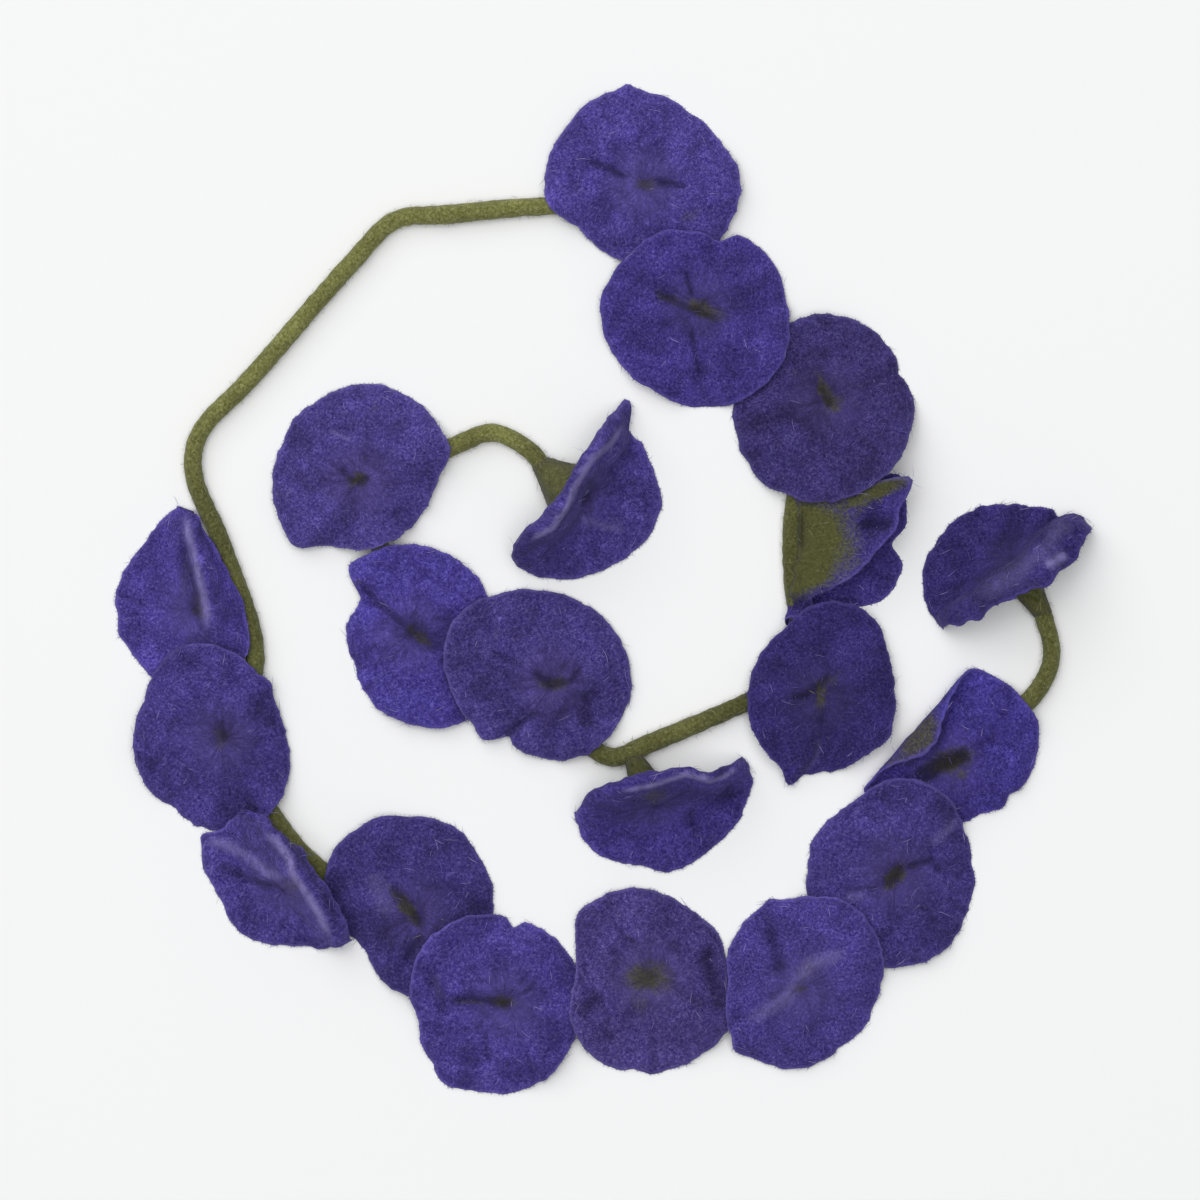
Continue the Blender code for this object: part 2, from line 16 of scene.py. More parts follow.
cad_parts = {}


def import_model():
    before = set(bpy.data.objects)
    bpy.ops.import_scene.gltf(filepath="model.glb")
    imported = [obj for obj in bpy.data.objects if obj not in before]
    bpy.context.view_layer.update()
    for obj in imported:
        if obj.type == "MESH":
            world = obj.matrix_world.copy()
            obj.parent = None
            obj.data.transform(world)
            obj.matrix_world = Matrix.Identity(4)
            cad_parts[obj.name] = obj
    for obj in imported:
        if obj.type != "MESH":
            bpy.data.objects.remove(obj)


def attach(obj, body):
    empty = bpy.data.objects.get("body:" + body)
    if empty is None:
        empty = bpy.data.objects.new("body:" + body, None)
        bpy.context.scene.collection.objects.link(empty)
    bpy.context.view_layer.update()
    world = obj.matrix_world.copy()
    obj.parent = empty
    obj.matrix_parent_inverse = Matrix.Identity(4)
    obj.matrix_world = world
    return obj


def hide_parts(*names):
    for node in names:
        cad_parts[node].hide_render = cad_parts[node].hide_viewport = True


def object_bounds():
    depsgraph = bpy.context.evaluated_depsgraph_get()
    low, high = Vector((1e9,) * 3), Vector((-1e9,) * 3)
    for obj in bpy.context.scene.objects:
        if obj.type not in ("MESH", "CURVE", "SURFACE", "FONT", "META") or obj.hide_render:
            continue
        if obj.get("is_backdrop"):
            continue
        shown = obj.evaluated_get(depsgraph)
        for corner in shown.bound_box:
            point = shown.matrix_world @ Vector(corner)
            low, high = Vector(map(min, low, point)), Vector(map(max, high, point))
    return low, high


MM = 0.001
GRID = 0.45
CENTRE = (600.3, 590.3)
VIEW_MIDDLE = (600.0, 600.0)    # the step of the top view that the camera looks at
VIEW_STEPS = 1200.0             # steps of the top view across the picture
CAMERA_HEIGHT = 3000.0
CAMERA_CLIP = (0.05, 20.0)      # in metres
FLOOR_HALF = 15000.0
FLOOR_LIGHT = 1.24              # the light on the floor: 1 gives it back the floor's own colour
SKY_SHARE = 0.17                # share of that light which comes from all around
LAMP_WHITE = (1.0, 0.995, 0.99)
SKY_WHITE = (0.97, 0.985, 1.0)
FLOOR_WHITE = (0.9, 0.905, 0.91)

VINE_RADIUS = 4.1
VINE_UNEVEN = 0.07
VINE_REST = 0.25
VINE_STEP = 1.6                 # from one ring of the cord to the next
KNOT_STEPS = 48                 # fine steps from one point of its route to the next
VINE_SIDES = 16
VINE_LUMPS = 0.32               # height of the lumps in the cord's felt
SINK = 0.8                      # how deep a stem end is felted into the cord
END_SINK = 4.0                  # the same for those that go on from the cord's ends
# The flowers at the cord's ends: the end's place in the cord's line, and one further in
CORD_ENDS = {1: (0, 4), 20: (-1, -5)}
STEM_RADIUS = 4.25

FELT = 2.2
FELT_RIM = 1.6
LAY = 1.5
RIM_UNEVEN = 0.9
RIM_LUMPS = 0.75                # small lumps along the rim
RIM_RISE = 1.8                  # how high a flat flower's rim stands off the floor, between its waves
RIM_WAVES = ((2, 2.4, 1.0), (3, 1.8, 2.3))  # the waves round it: how many, how high, and their own turn
RIM_SHY = 0.35                  # how far the felt's own rim stays inside the rounded one
WRINKLE = 0.9                   # height of the soft unevenness all over a petal
WRINKLE_SIZE = 13.0
PLEAT = 0.75                    # depth of the small creases that run out from the throat
PLEAT_WIDTH = 0.13
PLEAT_BEND = 22.0               # degrees by which they wander
STREAK = 0.2                    # height of the fine ridges between them
FURROW = 0.9                    # depth of the soft furrows that wander over a petal
FURROW_WIDTH = 0.12
SPOKE_FINE = 17.0               # how fine the wool's streaks are round the throat
SPOKE_LONG = 5.0                # and their length, in millimetres
THIN_EDGE = 0.35                # share by which the felt thins out right at its rim
THIN_FROM = 0.92                # from this share of its radius on
EDGE_FROM = 0.965               # and from this one on a highlight is painted on it
DENT_SHARE = 0.6                # share of its thickness that a crease can press in
PIT_RADIUS = 5.5
PATCH_RAGGED = 2.2              # how far a patch's outline wanders
PLEAT_DARK = 1.8                # depth at which the shade painted into a small crease is darkest, and into one on the back
CREASE_DARK = 1.25              # the same for a crease that is pressed into the face
THROAT_SHADE = 0.6                 # how much shade is painted into the middle of a throat: 1 is darkest
THROAT_CORE = 3.2               # its radius
GREEN_TO = (14.0, 27.0)         # the back is green up to the first radius, and violet from the second
DROOP = 1.45                    # how late a petal bends down from its crown to its rim: 1 is a cone
FLAP_HALF = 36.0
SPOKES = 144                    # points round a flower
FACE_RINGS = 34
BACK_RINGS = 15
CALYX_RINGS = 7
RING_SPREAD = 1.12              # how much closer together the rings are at the throat: 1 is even
RIM_ROUND = 0.35                # how far the rounded rim stands out from its edges

# The least height of points above the floor
CORD_CLEAR = 0.02
FIBRE_CLEAR = 0.03
BACK_CLEAR = 0.05
FACE_CLEAR = 0.1

FOLDED_OVER = 120               # a half turned up further than this lies folded over, and doesn't stand
STANDING = 30                   # and one turned up less than this doesn't stand either
BACK_SEEN = -0.3                # a face that looks down more than this is turned over, and shows its back
FACE_UP = 0.9                   # and one that looks up more than this lies flat
LAYS = 0.3                      # one that looks up more than this is laid over what is under it
LAYS_FOLDED = 0.98              # the same for a flower that is folded over
OVER_VINE = 10                  # a flower with a higher crown than this lies over the vine
FOLD_AIR = 0.5                  # air between a folded half and what it lies over
TILT_SHARE = 0.9                # how far a throat leans with a half that stands
LEAST_FELT = 0.4                # share of the rim's thickness that the face always keeps above the underside

MAP_HALF = 245                  # half the width of the height map, in cells of 1 mm
MAP_FLOOR = -LAY
TENT_SLOPE = 0.55               # how steeply a petal falls from what it is laid over
TENT_STEEP = 2.2                # the same for a flower that lies with its back on the floor
TENT_STEPS = 16
TENT_SOFTEN = 5
EASE = 0.8                      # softness of the bend where a petal meets what it is laid over

# The vine's route, from the inner end flower to the outer one, in steps of the top view
VINE_ROUTE = [
    (545, 470), (531, 452), (494, 433), (452, 447), (366, 487), (376, 530), (412, 634), (550, 692),
    (590, 746), (612, 757), (650, 743), (775, 688), (811, 664), (796, 606), (791, 552), (796, 495),
    (822, 405), (765, 345), (698, 306), (615, 209), (540, 207), (450, 215), (395, 221), (355, 260),
    (250, 380), (200, 434), (194, 472), (224, 548), (256, 652), (241, 740), (282, 828), (330, 876),
    (415, 916), (505, 1000), (800, 984), (893, 876), (938, 775), (1034, 694), (1051, 655), (1040, 606),
]

# One row for each flower; one that lies flat has just its place and rim, and the usual values for the rest
#   x, y      its throat in the top view
#   rim       the felt's radius at each hour, anticlockwise from out
#   out       the way its lower half lies
#   right     how far the other half is turned up from flat at its right end: 90 stands, more flops forward
#   left      the same at its left end, seen along out
#   fold      how far behind the throat that half begins to turn up
#   turn      the radius of that bend
#   crown     height of the felt's underside round the throat
#   pit       depth of the throat
#   calyx     radius of the calyx where it leaves the flower
#   taper     how it narrows to its stem end: 1 is a cone, more is a bell
#   end       where its stem end meets the vine in the top view, where that isn't below the throat
Flower = namedtuple("Flower", "number x y rim out right left fold turn crown pit calyx taper end",
                    defaults=(0, 0, 0, 0, 8, 14, 5, 9, 0.6, None))
FLOWERS = [
    Flower(1, 568, 493, (40.5, 42, 39.5, 45, 42, 38, 37, 38, 40, 40.5, 39, 38),
           -35, 90, 92, -10, 8, 0, 8, 20, 0.75, (545, 470)),
    Flower(2, 360, 481, (35, 43.5, 44.5, 43.5, 40.5, 39, 39.5, 39, 34, 31.5, 31, 31.5)),
    Flower(3, 410, 632, (39.5, 38.5, 39, 39.5, 39, 27.5, 29, 29, 35.5, 41.5, 47, 43)),
    Flower(4, 552, 682, (36, 36, 38, 40.5, 46.5, 52, 47, 40, 34, 35, 36, 35.5)),
    Flower(5, 652, 794, (36, 36, 41.5, 45.5, 40, 38, 37, 36, 35, 36.5, 36.5, 33),
           -73, 74, 76, -8, 8, 0, 7, 14, 0.55, (634, 758)),
    Flower(6, 820, 697, (34.5, 36.5, 43.5, 42.5, 35, 32.5, 33, 34, 35.5, 34, 34, 35.5)),
    Flower(7, 801, 556, (46, 52, 34, 27, 34, 55, 36, 28, 24, 22, 26, 39),
           0, 165, 165, -7, 5, 0, 0, 6, 0.8),
    Flower(8, 826, 400, (39, 36.5, 38, 38.5, 38.5, 38, 41, 45, 47, 46.5, 43.5, 41)),
    Flower(9, 699, 308, (40, 40, 38.5, 34, 38, 40.5, 44.5, 44, 43, 45, 46, 44.5)),
    Flower(10, 644, 187, (43.5, 41, 39.5, 43, 45.5, 45, 44, 35.5, 34.5, 36, 39.5, 42)),
    Flower(11, 200, 608, (38, 37, 39.5, 41.5, 31, 34, 38, 38.5, 41.5, 46.5, 38.5, 38),
           -170, 72, 34, -8, 9, 0, 7, 4, 0.8),
    Flower(12, 225, 739, (29, 28.5, 32.5, 41.5, 46, 41, 41, 41, 39, 41.5, 39.5, 34)),
    Flower(13, 292, 881, (33, 30, 30, 38, 36, 34, 39, 43, 42, 39, 42, 33.5),
           -138, 71, 66, -8, 8, 0, 7, 8, 0.8, (314, 857)),
    Flower(14, 418, 915, (34, 37, 42, 44.5, 48, 46.5, 38, 29, 33, 37.5, 40.5, 38)),
    Flower(15, 507, 1002, (34, 35, 36, 38.5, 43.5, 45.5, 43.5, 43, 43, 41, 38, 34.5)),
    Flower(16, 650, 977, (35, 36, 35.5, 39.5, 42.5, 37, 34, 41, 44, 43, 42, 41.5)),
    Flower(17, 801, 986, (36.5, 40.5, 43, 40.5, 39.5, 37, 33.5, 38, 38.5, 37, 33, 34)),
    Flower(18, 894, 875, (36, 37, 43, 44, 38, 39.5, 39.5, 42, 41.5, 42, 41.5, 37.5)),
    Flower(19, 944, 762, (33, 38.5, 44.5, 45, 44, 36.5, 38, 33.5, 37, 38, 34, 28.5),
           -41, 163, 160, 14, 6, 13, 4, 9, 0.6),
    Flower(20, 1016, 566, (32, 37, 42.5, 44, 42, 38, 36, 36, 38, 37, 28.5, 28),
           128, 68, 70, -8, 8, 0, 7, 15, 0.5, (1040, 606)),
]

# Corners and notches of the rims: the angle, how far the rim reaches out (or in) there, and over which
# half width
NIPS = {
    1: ((92, 5, 9), (85, -3.5, 5), (78, -4, 9)),
    2: ((225, 5, 12), (15, 2.5, 10), (136, 1.2, 8), (41, -1.2, 12), (246, -1.2, 20)),
    3: ((135, 7, 11), (150, -1.5, 8), (143, -4.5, 6), (37, 1.5, 6)),
    4: ((221, 2.5, 7), (231, -4, 6)),
    6: ((252, 6, 9), (258, -3, 4), (250, 1, 3), (0, -1, 25), (308, -1.2, 12)),
    7: ((40, 12, 8), (8, -7, 7), (205, -2.6, 24), (240, -2.6, 20), (285, 4, 13), (146, 9, 6), (157, -3, 5),
        (270, 8, 13), (246, 5, 8), (252, 5.5, 8), (338, 2.5, 14), (40, -2, 8)),
    8: ((21, -2.5, 8), (27, 1.5, 5)),
    9: ((72, -5.5, 9), (36, -1.2, 20)),
    10: ((99, 2, 6), (193, 3, 10), (99, 1.5, 3), (136, -1, 20), (34, -1, 14), (77, 1, 5)),
    12: ((53, 2, 8), (232, -2, 7), (232, 1.2, 7), (247, 1.2, 14), (0, -1, 40)),
    13: ((291, 4, 5), (280, -1, 4), (85, -2, 8)),
    14: ((43, -1, 12),),
    15: ((232, 3, 9), (190, -3, 8), (85, -3.5, 4)),
    16: ((139, 4.5, 10), (271, 1.2, 3), (259, -1, 3)),
    17: ((224, 3, 8), (110, 1.5, 6), (350, -1.5, 12)),
    18: ((293, -1, 20),),
    19: ((14, -3, 6), (347, -1.5, 12), (236, 2, 8)),
    20: ((275, 2.5, 10), (281, -5, 6), (275, -2.5, 9)),
}

# Half a flower that is folded over the cord is drawn back over it: by 'before' above one height of the
# top view and by 'after' below another, at the fold's edge, and less and less up to 'reach' beyond it
Draw = namedtuple("Draw", "edge reach before above after below")
DRAWS = {7: Draw(805, 24.0, 4.6, 572, 7.8, 592)}

# Halves that stand up and roll over. Places are millimetres from the throat, forward along 'out' and along
# the fold: where the fold is, the crest's and the free rim's way forward at places along it, the share of
# the felt that is below the crest, and whether the rest rises (1) or falls (-1)
Flap = namedtuple("Flap", "fold share way crest rim")
FLAPS = {
    1: Flap(10, 0.82, -1,
            ((-42, 1), (-29, -0.5), (-17, 3.8), (-6, 4), (6, 1.6), (18, 0.8), (29, 2.5), (41, 1.5),
             (48, -1)),
            ((-42, 3), (-38, -3.2), (-33, -6.4), (-26, -6.2), (-13, -2.9), (2, -1.9), (14, -4.3),
             (21, -3.7), (31, -4.8), (48, -3.8))),
    5: Flap(8, 0.84, -1,
            ((-36, -2), (-13, -5.5), (0, -4.8), (17, -4.7), (26, 1), (34, 1.2), (43, -1)),
            ((-36, -2.4), (-25, -10), (-10, -11), (-1, -11.2), (10, -9.5), (19, -6.9), (27, -1.8),
             (37, -3.2), (44, -3.8), (47, 0))),
    11: Flap(4, 0.5, -1,
            ((-43, -1.2), (-33, -1.3), (-24, -1.9), (-13, -2.8), (0, -3.3), (10, -2.3), (25, -4), (36, -4)),
            ((-46, -4), (-38, -7.8), (-25, -12), (-12, -16), (1, -20), (16, -20.5), (30, -17))),
    13: Flap(8, 0.78, -1,
            ((-40, -0.5), (-36, -5), (-30, -8), (-17, -8.3), (-9, -7.8), (-2, -4), (8, -2.7), (18, -0.6),
             (27, 1.1), (31, 3.5)),
            ((-40, -2.5), (-36, -7.3), (-31, -11), (-24, -10.2), (-15, -13.2), (-7, -14.2), (0, -12.6),
             (10, -12), (20, -9.6), (28, -7.9), (37, -3.1))),
    20: Flap(4, 0.5, 1,
            ((-37, 2.2), (-28, 6), (-16, 6.5), (-4, 2), (7, 2.3), (20, 2.6), (33, 5.2)),
            ((-40, -6), (-34, -8.6), (-27, -11.1), (-22, -14.3), (-11, -13.6), (-5, -15.2), (3, -12.4),
             (10, -10.9), (18, -8.4), (22, -6.6), (28, -8.7), (36, -5.4), (41, -2.5))),
}
TIP_DRAW = {1: 8.0}             # how far back the fold goes at the flap's left tip
TIP_STRETCH = (30.0, 44.0)      # along this stretch of the fold
FOLD_BEND = 9.0                 # softness of the bend at the fold
CREST_BEND = 1.8                # and at the crest
CREST_INSET = 0.4               # how far inside the places above the felt's underside stays
RIM_INSET = 0.6
LEAST_RIM = 2.0                 # least height of a free rim
SLOPE_STEP = 0.4                # the slope is taken over this stretch to both sides
FLAP_PIT = 0.2                  # share of its depth that a throat keeps in a flower with a standing half
BEHIND_FLAP = 2.0               # how far the calyx stays behind the fold
FLAT_SHARE = 0.97               # a stretch of felt reaches at most this share of its length sideways

# The rims that ruffle: how far they curl and how high their waves are
RUFFLES = {1: (0, 0.9), 5: (0, 0.9), 7: (-1.6, 0.8), 11: (0, 0.5), 13: (0, 0.8), 20: (0, 1.3)}

# The main folds, as lines from the throat: the angle, where the fold starts and ends, its half width, and
# its height (or depth, below 0)
FOLDS = {
    1: ((20, 12, 38, 6, 1.5), (320, 12, 36, 6, 1.2)),
    2: ((40, 8, 38, 6, -1.5), (140, 3, 20, 4, -2), (230, 8, 36, 6, 1.8), (330, 6, 28, 5, -1.5)),
    3: ((129, 2, 33, 5, -3.5), (285, 8, 42, 6, -1.5), (200, 6, 26, 6, 2), (345, 4, 14, 4, -2.5)),
    4: ((142, 6, 20, 4, -2.2), (38, 5, 16, 4, -2.2), (229, 17, 34, 4, -2.5), (339, 10, 26, 6, -1.5)),
    5: ((40, 12, 34, 5, 1.5), (325, 12, 30, 5, 1.2)),
    6: ((180, 2, 12, 4, -2.2), (56, 3, 11, 4, -2.2), (250, 16, 38, 4, 2), (120, 10, 30, 6, -1.5)),
    7: ((158, 33, 46, 4, 3.2), (140, 34, 60, 4, -3), (172, 26, 42, 4, -1.5)),
    8: ((110, 1, 14, 4, -3), (285, 1, 12, 4, -3), (200, 8, 40, 6, 1.5), (20, 10, 34, 6, -1.2)),
    9: ((160, 2, 21, 4, -3), (330, 2, 13, 4, -2.5), (105, 5, 18, 4, -1.5), (263, 8, 34, 5, -1.8)),
    10: ((159, 8, 28, 5, -2.5), (2, 4, 15, 4, -2.2), (240, 10, 30, 7, 1.5)),
    11: ((90, 10, 40, 5, 1.5),),
    12: ((45, 8, 20, 6, -2), (130, 8, 34, 6, 1.5), (250, 10, 36, 6, -1.5)),
    13: ((300, 8, 40, 5, 2.5),),
    14: ((256, 1, 25, 4, -3), (128, 1, 14, 4, -3), (165, 20, 38, 8, -1.5)),
    15: ((180, 3, 17, 4, -2.5), (0, 3, 12, 4, -2), (168, 22, 38, 4, 1.5), (120, 8, 30, 6, 1.5)),
    16: ((195, 18, 34, 6, -1.8), (350, 20, 34, 6, -2), (100, 8, 30, 5, 1.2)),
    17: ((20, 6, 28, 6, -1.5), (140, 8, 32, 6, -1.5), (260, 8, 28, 6, 1.5)),
    18: ((228, 2, 24, 4, -2.5), (30, 4, 20, 5, -2.2), (50, 24, 40, 4, 1.8), (180, 10, 34, 6, 1.2)),
    19: ((40, 12, 36, 6, 1.5),),
    20: ((40, 12, 36, 6, 1.5), (330, 12, 36, 6, 1.2)),
}

# Creases and soft valleys pressed into a face, and ridges where the depth is below 0; shade is painted into
# each crease and valley by its depth: the half width, the depth, and the path in the top view
CREASES_AND_SHADE = {
    1: ((2.5, 1, (592, 538), (597, 561)), (2, -0.9, (576, 515), (597, 524), (629, 531)),
        (3.5, 1, (588, 505), (585, 492), (593, 478))),
    2: ((1.6, 1.4, (340, 468), (357, 484)), (1.8, 1.2, (357, 484), (372, 478)),
        (1.3, 0.8, (345, 498), (358, 486)), (1.2, 0.7, (318, 480), (350, 484))),
    # flower 3's last stroke is mostly painted shade along the rim of flower 4, which lies over it
    3: ((2.2, 1.6, (357, 580), (381, 606), (411, 630)), (5, 1.4, (405, 625), (445, 650)),
        (5, 1.2, (450, 600), (455, 680), (475, 735))),
    4: ((2, 1.5, (529, 666), (551, 685), (572, 680), (583, 661)), (1.6, 0.9, (489, 650), (527, 666)),
        (4, 1.2, (586, 688), (588, 731)), (1.8, 1.5, (502, 739), (522, 722), (540, 709))),
    5: ((1.8, 1, (690, 816), (696, 841)), (5, 1.2, (722, 785), (735, 800))),
    6: ((1.5, 1.3, (790, 697), (811, 695)), (1.6, 1.1, (806, 695), (818, 686), (832, 673)),
        (3, 0.9, (821, 704), (822, 725)), (1.5, 1.3, (798, 777), (813, 758), (820, 738))),
    8: ((1.6, 1.3, (818, 382), (824, 396), (831, 410)), (5, 0.9, (802, 412), (740, 425)),
        (5, 1, (879, 466), (835, 489))),
    9: ((1.8, 1.4, (655, 292), (688, 309), (724, 323)), (1.4, 1.3, (686, 270), (692, 300)),
        (1.4, 1.3, (690, 325), (694, 350), (701, 381)), (1.4, 0.9, (727, 365), (737, 384)),
        (4, 0.9, (630, 276), (679, 301)), (5, 0.7, (708, 271), (757, 255))),
    10: ((1.6, 1.6, (585, 162), (605, 169), (629, 181)), (1.6, 1.4, (654, 183), (688, 189))),
    11: ((3, 1.2, (180, 535), (198, 590), (201, 625)),),
    # flower 12's first stroke is mostly painted shadow cast by flower 13
    12: ((5, 1.1, (212, 805), (235, 812), (264, 806)), (1.8, 0.9, (228, 742), (221, 718))),
    13: ((2.6, -2, (204, 840), (227, 844), (250, 857), (269, 872), (290, 876)),
         (3, 1, (215, 862), (250, 880), (283, 888)),
         (1.6, 1, (280, 828), (298, 846), (309, 866), (322, 888), (336, 912), (342, 932))),
    14: ((2.2, 1.2, (392, 884), (410, 906), (426, 932)), (2.5, 1.4, (424, 930), (405, 962)),
         (3, 1.2, (466, 909), (493, 907)), (6, 1, (330, 868), (345, 895))),
    15: ((2.2, 1.35, (444, 999), (481, 998), (515, 1004)), (3, 1.4, (428, 972), (441, 992), (444, 1017)),
         (1.5, 1, (485, 1027), (488, 1063))),
    16: ((4.5, 1.5, (703, 943), (724, 1014)), (3, 0.9, (672, 986), (707, 1006)),
         (4, 1.2, (602, 990), (578, 1017)), (1.5, 0.8, (584, 903), (615, 926), (640, 946)),
         (2, 0.9, (651, 1030), (655, 1070)), (1.3, 0.6, (650, 937), (651, 966))),
    17: ((4, 1.4, (768, 922), (781, 977)), (1.8, 0.9, (829, 898), (862, 912)),
         (2.2, -0.9, (738, 1026), (788, 995), (810, 963), (852, 948))),
    18: ((1.8, 1.4, (902, 868), (930, 859), (945, 875)), (2.6, 1.6, (903, 863), (884, 888)),
         (1.3, 0.8, (878, 887), (842, 889)), (1.3, 0.8, (892, 893), (889, 920))),
    19: ((3.4, 3, (914, 780), (940, 763), (972, 752)), (3.5, 1, (900, 782), (940, 771))),
}

# The same on the back of a half that is folded over, where it is what shows, with shade painted in likewise
BACK_CREASES_AND_SHADE = {
    7: ((2.2, 1.5, (799, 512), (799, 555)), (2.2, -1.3, (788, 577), (805, 558), (824, 536)),
        (2.6, 2.6, (855, 524), (893, 526)), (3.5, 2.2, (780, 603), (812, 604), (834, 594))),
}

# Painted highlight along crests and ridges, where the felt catches the light: the half width, how much, and
# the path
CREST_HIGHLIGHTS = {
    1: ((1, 1.6, (627, 420), (611, 445), (592, 462), (578, 485), (567, 510), (553, 529), (525, 545)),
        (2.2, 0.3, (576, 515), (597, 524), (629, 531))),
    2: ((0.8, 0.5, (328, 430), (354, 442)),),
    5: ((1, 1.4, (615, 791), (650, 784), (685, 773), (709, 780), (724, 775), (745, 763)),),
    6: ((1.5, 0.3, (800, 776), (815, 758), (820, 735)),),
    11: ((2, 1, (186, 510), (190, 535), (195, 555), (201, 578), (207, 606), (210, 634)),),
    13: ((2.6, 0.6, (202, 839), (227, 844), (250, 857), (269, 872), (291, 877)),
         (1.9, 1.1, (262, 827), (280, 840), (292, 855), (296, 872), (309, 891), (320, 910), (334, 940))),
    14: ((5, 0.25, (373, 868), (389, 918)),),
    15: ((2.2, 0.3, (436, 970), (440, 1000)),),
    17: ((3.4, 0.4, (738, 1026), (788, 995), (810, 963), (855, 947)),),
    18: ((2.6, 0.3, (926, 846), (961, 817)), (3, 0.3, (843, 896), (866, 894))),
    20: ((4, 0.3, (1082, 520), (1058, 528), (1038, 552), (1012, 575), (968, 600)),
         (2.2, 0.9, (1040, 567), (1054, 560), (1064, 553))),
}

# Where a throat or a bit of a face is green or brown: its place and half sizes in steps of the top view,
# how it is turned, and how much of it shows
PATCHES = {
    2: ((357, 481, 11, 7, 20, 0.95), (283, 495, 14, 9, 20, 0.3), (377, 408, 14, 8, 60, 0.3)),
    3: ((420, 636, 15, 7, -35, 0.9), (355, 587, 8, 5, 50, 0.6)),
    4: ((553, 684, 15, 7, 0, 0.75), (497, 634, 3, 10, 0, 0.4)),
    5: ((652, 795, 14, 10, 10, 0.7), (712, 767, 14, 5, 20, 0.5)),
    6: ((820, 695, 7, 15, 8, 1), (832, 678, 12, 5, 35, 0.45)),
    8: ((824, 392, 20, 5, -68, 1), (831, 404, 9, 9, 0, 0.9), (795, 374, 9, 6, 0, 0.25)),
    9: ((702, 310, 22, 8, -20, 0.95), (668, 299, 16, 5, -20, 0.6)),
    10: ((647, 186, 12, 7, 0, 0.7), (691, 216, 12, 7, 30, 0.4)),
    11: ((200, 606, 6, 15, 0, 0.7), (188, 570, 6, 34, -14, 0.3)),
    12: ((223, 738, 9, 12, 0, 0.5),),
    13: ((294, 882, 10, 8, 0, 0.5),),
    14: ((407, 906, 24, 6, -55, 1),),
    15: ((504, 1000, 13, 7, -10, 0.9), (470, 999, 26, 4, 0, 0.5)),
    16: ((648, 976, 25, 15, 0, 1), (640, 1000, 9, 16, 15, 0.4)),
    17: ((800, 987, 8, 6, 0, 0.6), (804, 966, 16, 9, 60, 0.3)),
    18: ((893, 876, 16, 7, 52, 0.95),),
    19: ((949, 761, 25, 11, 20, 1), (961, 774, 10, 6, 30, 0.7), (905, 758, 16, 7, 25, 0.4)),
    20: ((1010, 566, 8, 6, 0, 0.3),),
}

# How light the vine is at distances along it: partly its wool's own tone and partly painted light and shade
VINE_TONE_AND_SHADE = (
    (0, 0.8), (12, 1.0), (25, 1.35), (45, 1.1), (260, 0.72), (310, 0.82), (335, 0.55), (436, 0.6),
    (600, 1.35), (860, 1.3), (888, 0.65), (950, 0.7), (1430, 0.78), (1460, 0.9), (1520, 0.85),
)

# Where the calyx's green spreads further over a flower's back: as for the patches
LEAVES = {
    1: ((600, 436, 16, 6, 55, 0.45),),
    7: ((805, 540, 54, 52, 0, 1), (868, 494, 46, 11, 24, 0.8)),
}

# Brown wool on the back of a half that is folded over
BACK_PATCHES = {
    7: ((878, 490, 38, 9, 24, 0.75), (846, 560, 12, 30, 20, 0.3)),
    19: ((916, 735, 29, 17, 58, 1.2), (900, 758, 20, 10, 30, 0.8)),
}

# The order in which the flowers were laid down: each lies over what it meets of those before it
LAID = (11, 12, 14, 13, 15, 16, 19, 18, 17, 3, 4, 2, 5, 1, 7, 6, 8, 10, 9, 20)

# How each flower's wool differs: how light it is, and how much more or less blue is in it
TINTS = {
    1: (1.12, 0), 2: (1.22, -0.06), 3: (1.2, 0.16), 4: (1.02, -0.06), 5: (0.94, 0.12), 6: (0.6, 0.13),
    7: (0.88, 0.1), 8: (0.8, -0.1), 9: (0.96, 0.14), 10: (1.25, 0.03), 11: (1.22, 0.07), 12: (0.98, 0.02),
    13: (1.15, 0), 14: (0.87, 0), 15: (1.12, 0.07), 16: (1.15, -0.14), 17: (1.1, 0.04), 18: (0.95, 0),
    19: (0.95, 0.26), 20: (0.62, 0.1),
}

# How light the green of its calyx is, where that isn't LEAF_LIGHTNESS: partly its wool's own tone and partly
# painted shade, as on flower 5's calyx
LEAF_TONE_AND_SHADE = {5: 0.6, 7: 0.64, 19: 0.5, 20: 0.75}
LEAF_LIGHTNESS = 0.8

PRESSED_DOWN = 18.0             # a standing half is pressed down by a later petal up to this height
CLEAR_OF_FOLD = 6.0             # and it begins this far behind the fold

# Fibres standing off the felt
FLOWER_FIBRES = 1000
RIM_FIBRES = 400
VINE_FIBRES = 4200
FIBRE_SEED = 4711
NOISE_SEED = 5                  # keeps the patches' ragged outlines the same in each run
ROOT_DEPTH = 0.08               # how deep a fibre's root is in the felt
COMBED_INSIDE = 5               # from so many rings inside the rim
COMBED_PAST = 3                 # to so many past it, the fibres follow the rim or the spokes
CURLED_SHARE = 0.72             # share of the cord's fibres that lie on it; the others stand off
FIBRE_LENGTH = (2.0, 6.5)
FIBRE_LIFT = (0.1, 0.45)        # how high a fibre arcs over the felt
FIBRE_RADIUS = (0.04, 0.07)
RIM_FIBRE_LENGTH = (0.3, 1.2)
VINE_FIBRE_LENGTH = (1.5, 5.0)
VINE_FIBRE_LIFT = (0.15, 0.7)
VINE_FIBRE_RADIUS = (0.045, 0.075)

# What the wool reads at each point, besides where it is in the flat felt. The edge and pale values are
# painted highlights on the rim and on crests, and the value for creases is painted shade in creases and
# throats.
WOOL_VALUES = ("patch", "green", "edge", "crease", "pale")
BACK_SEED = 60                  # sets the pattern on the back off from the face's
CALYX_SEED = 90                 # and that on the calyx
CALYX_TURN = 12.0               # degrees round the calyx for one unit of the pattern
CALYX_LONG = 12.0               # units of the pattern along it
BUMP_STRENGTH = 0.8
BUMP_DISTANCE = 0.0006          # in metres

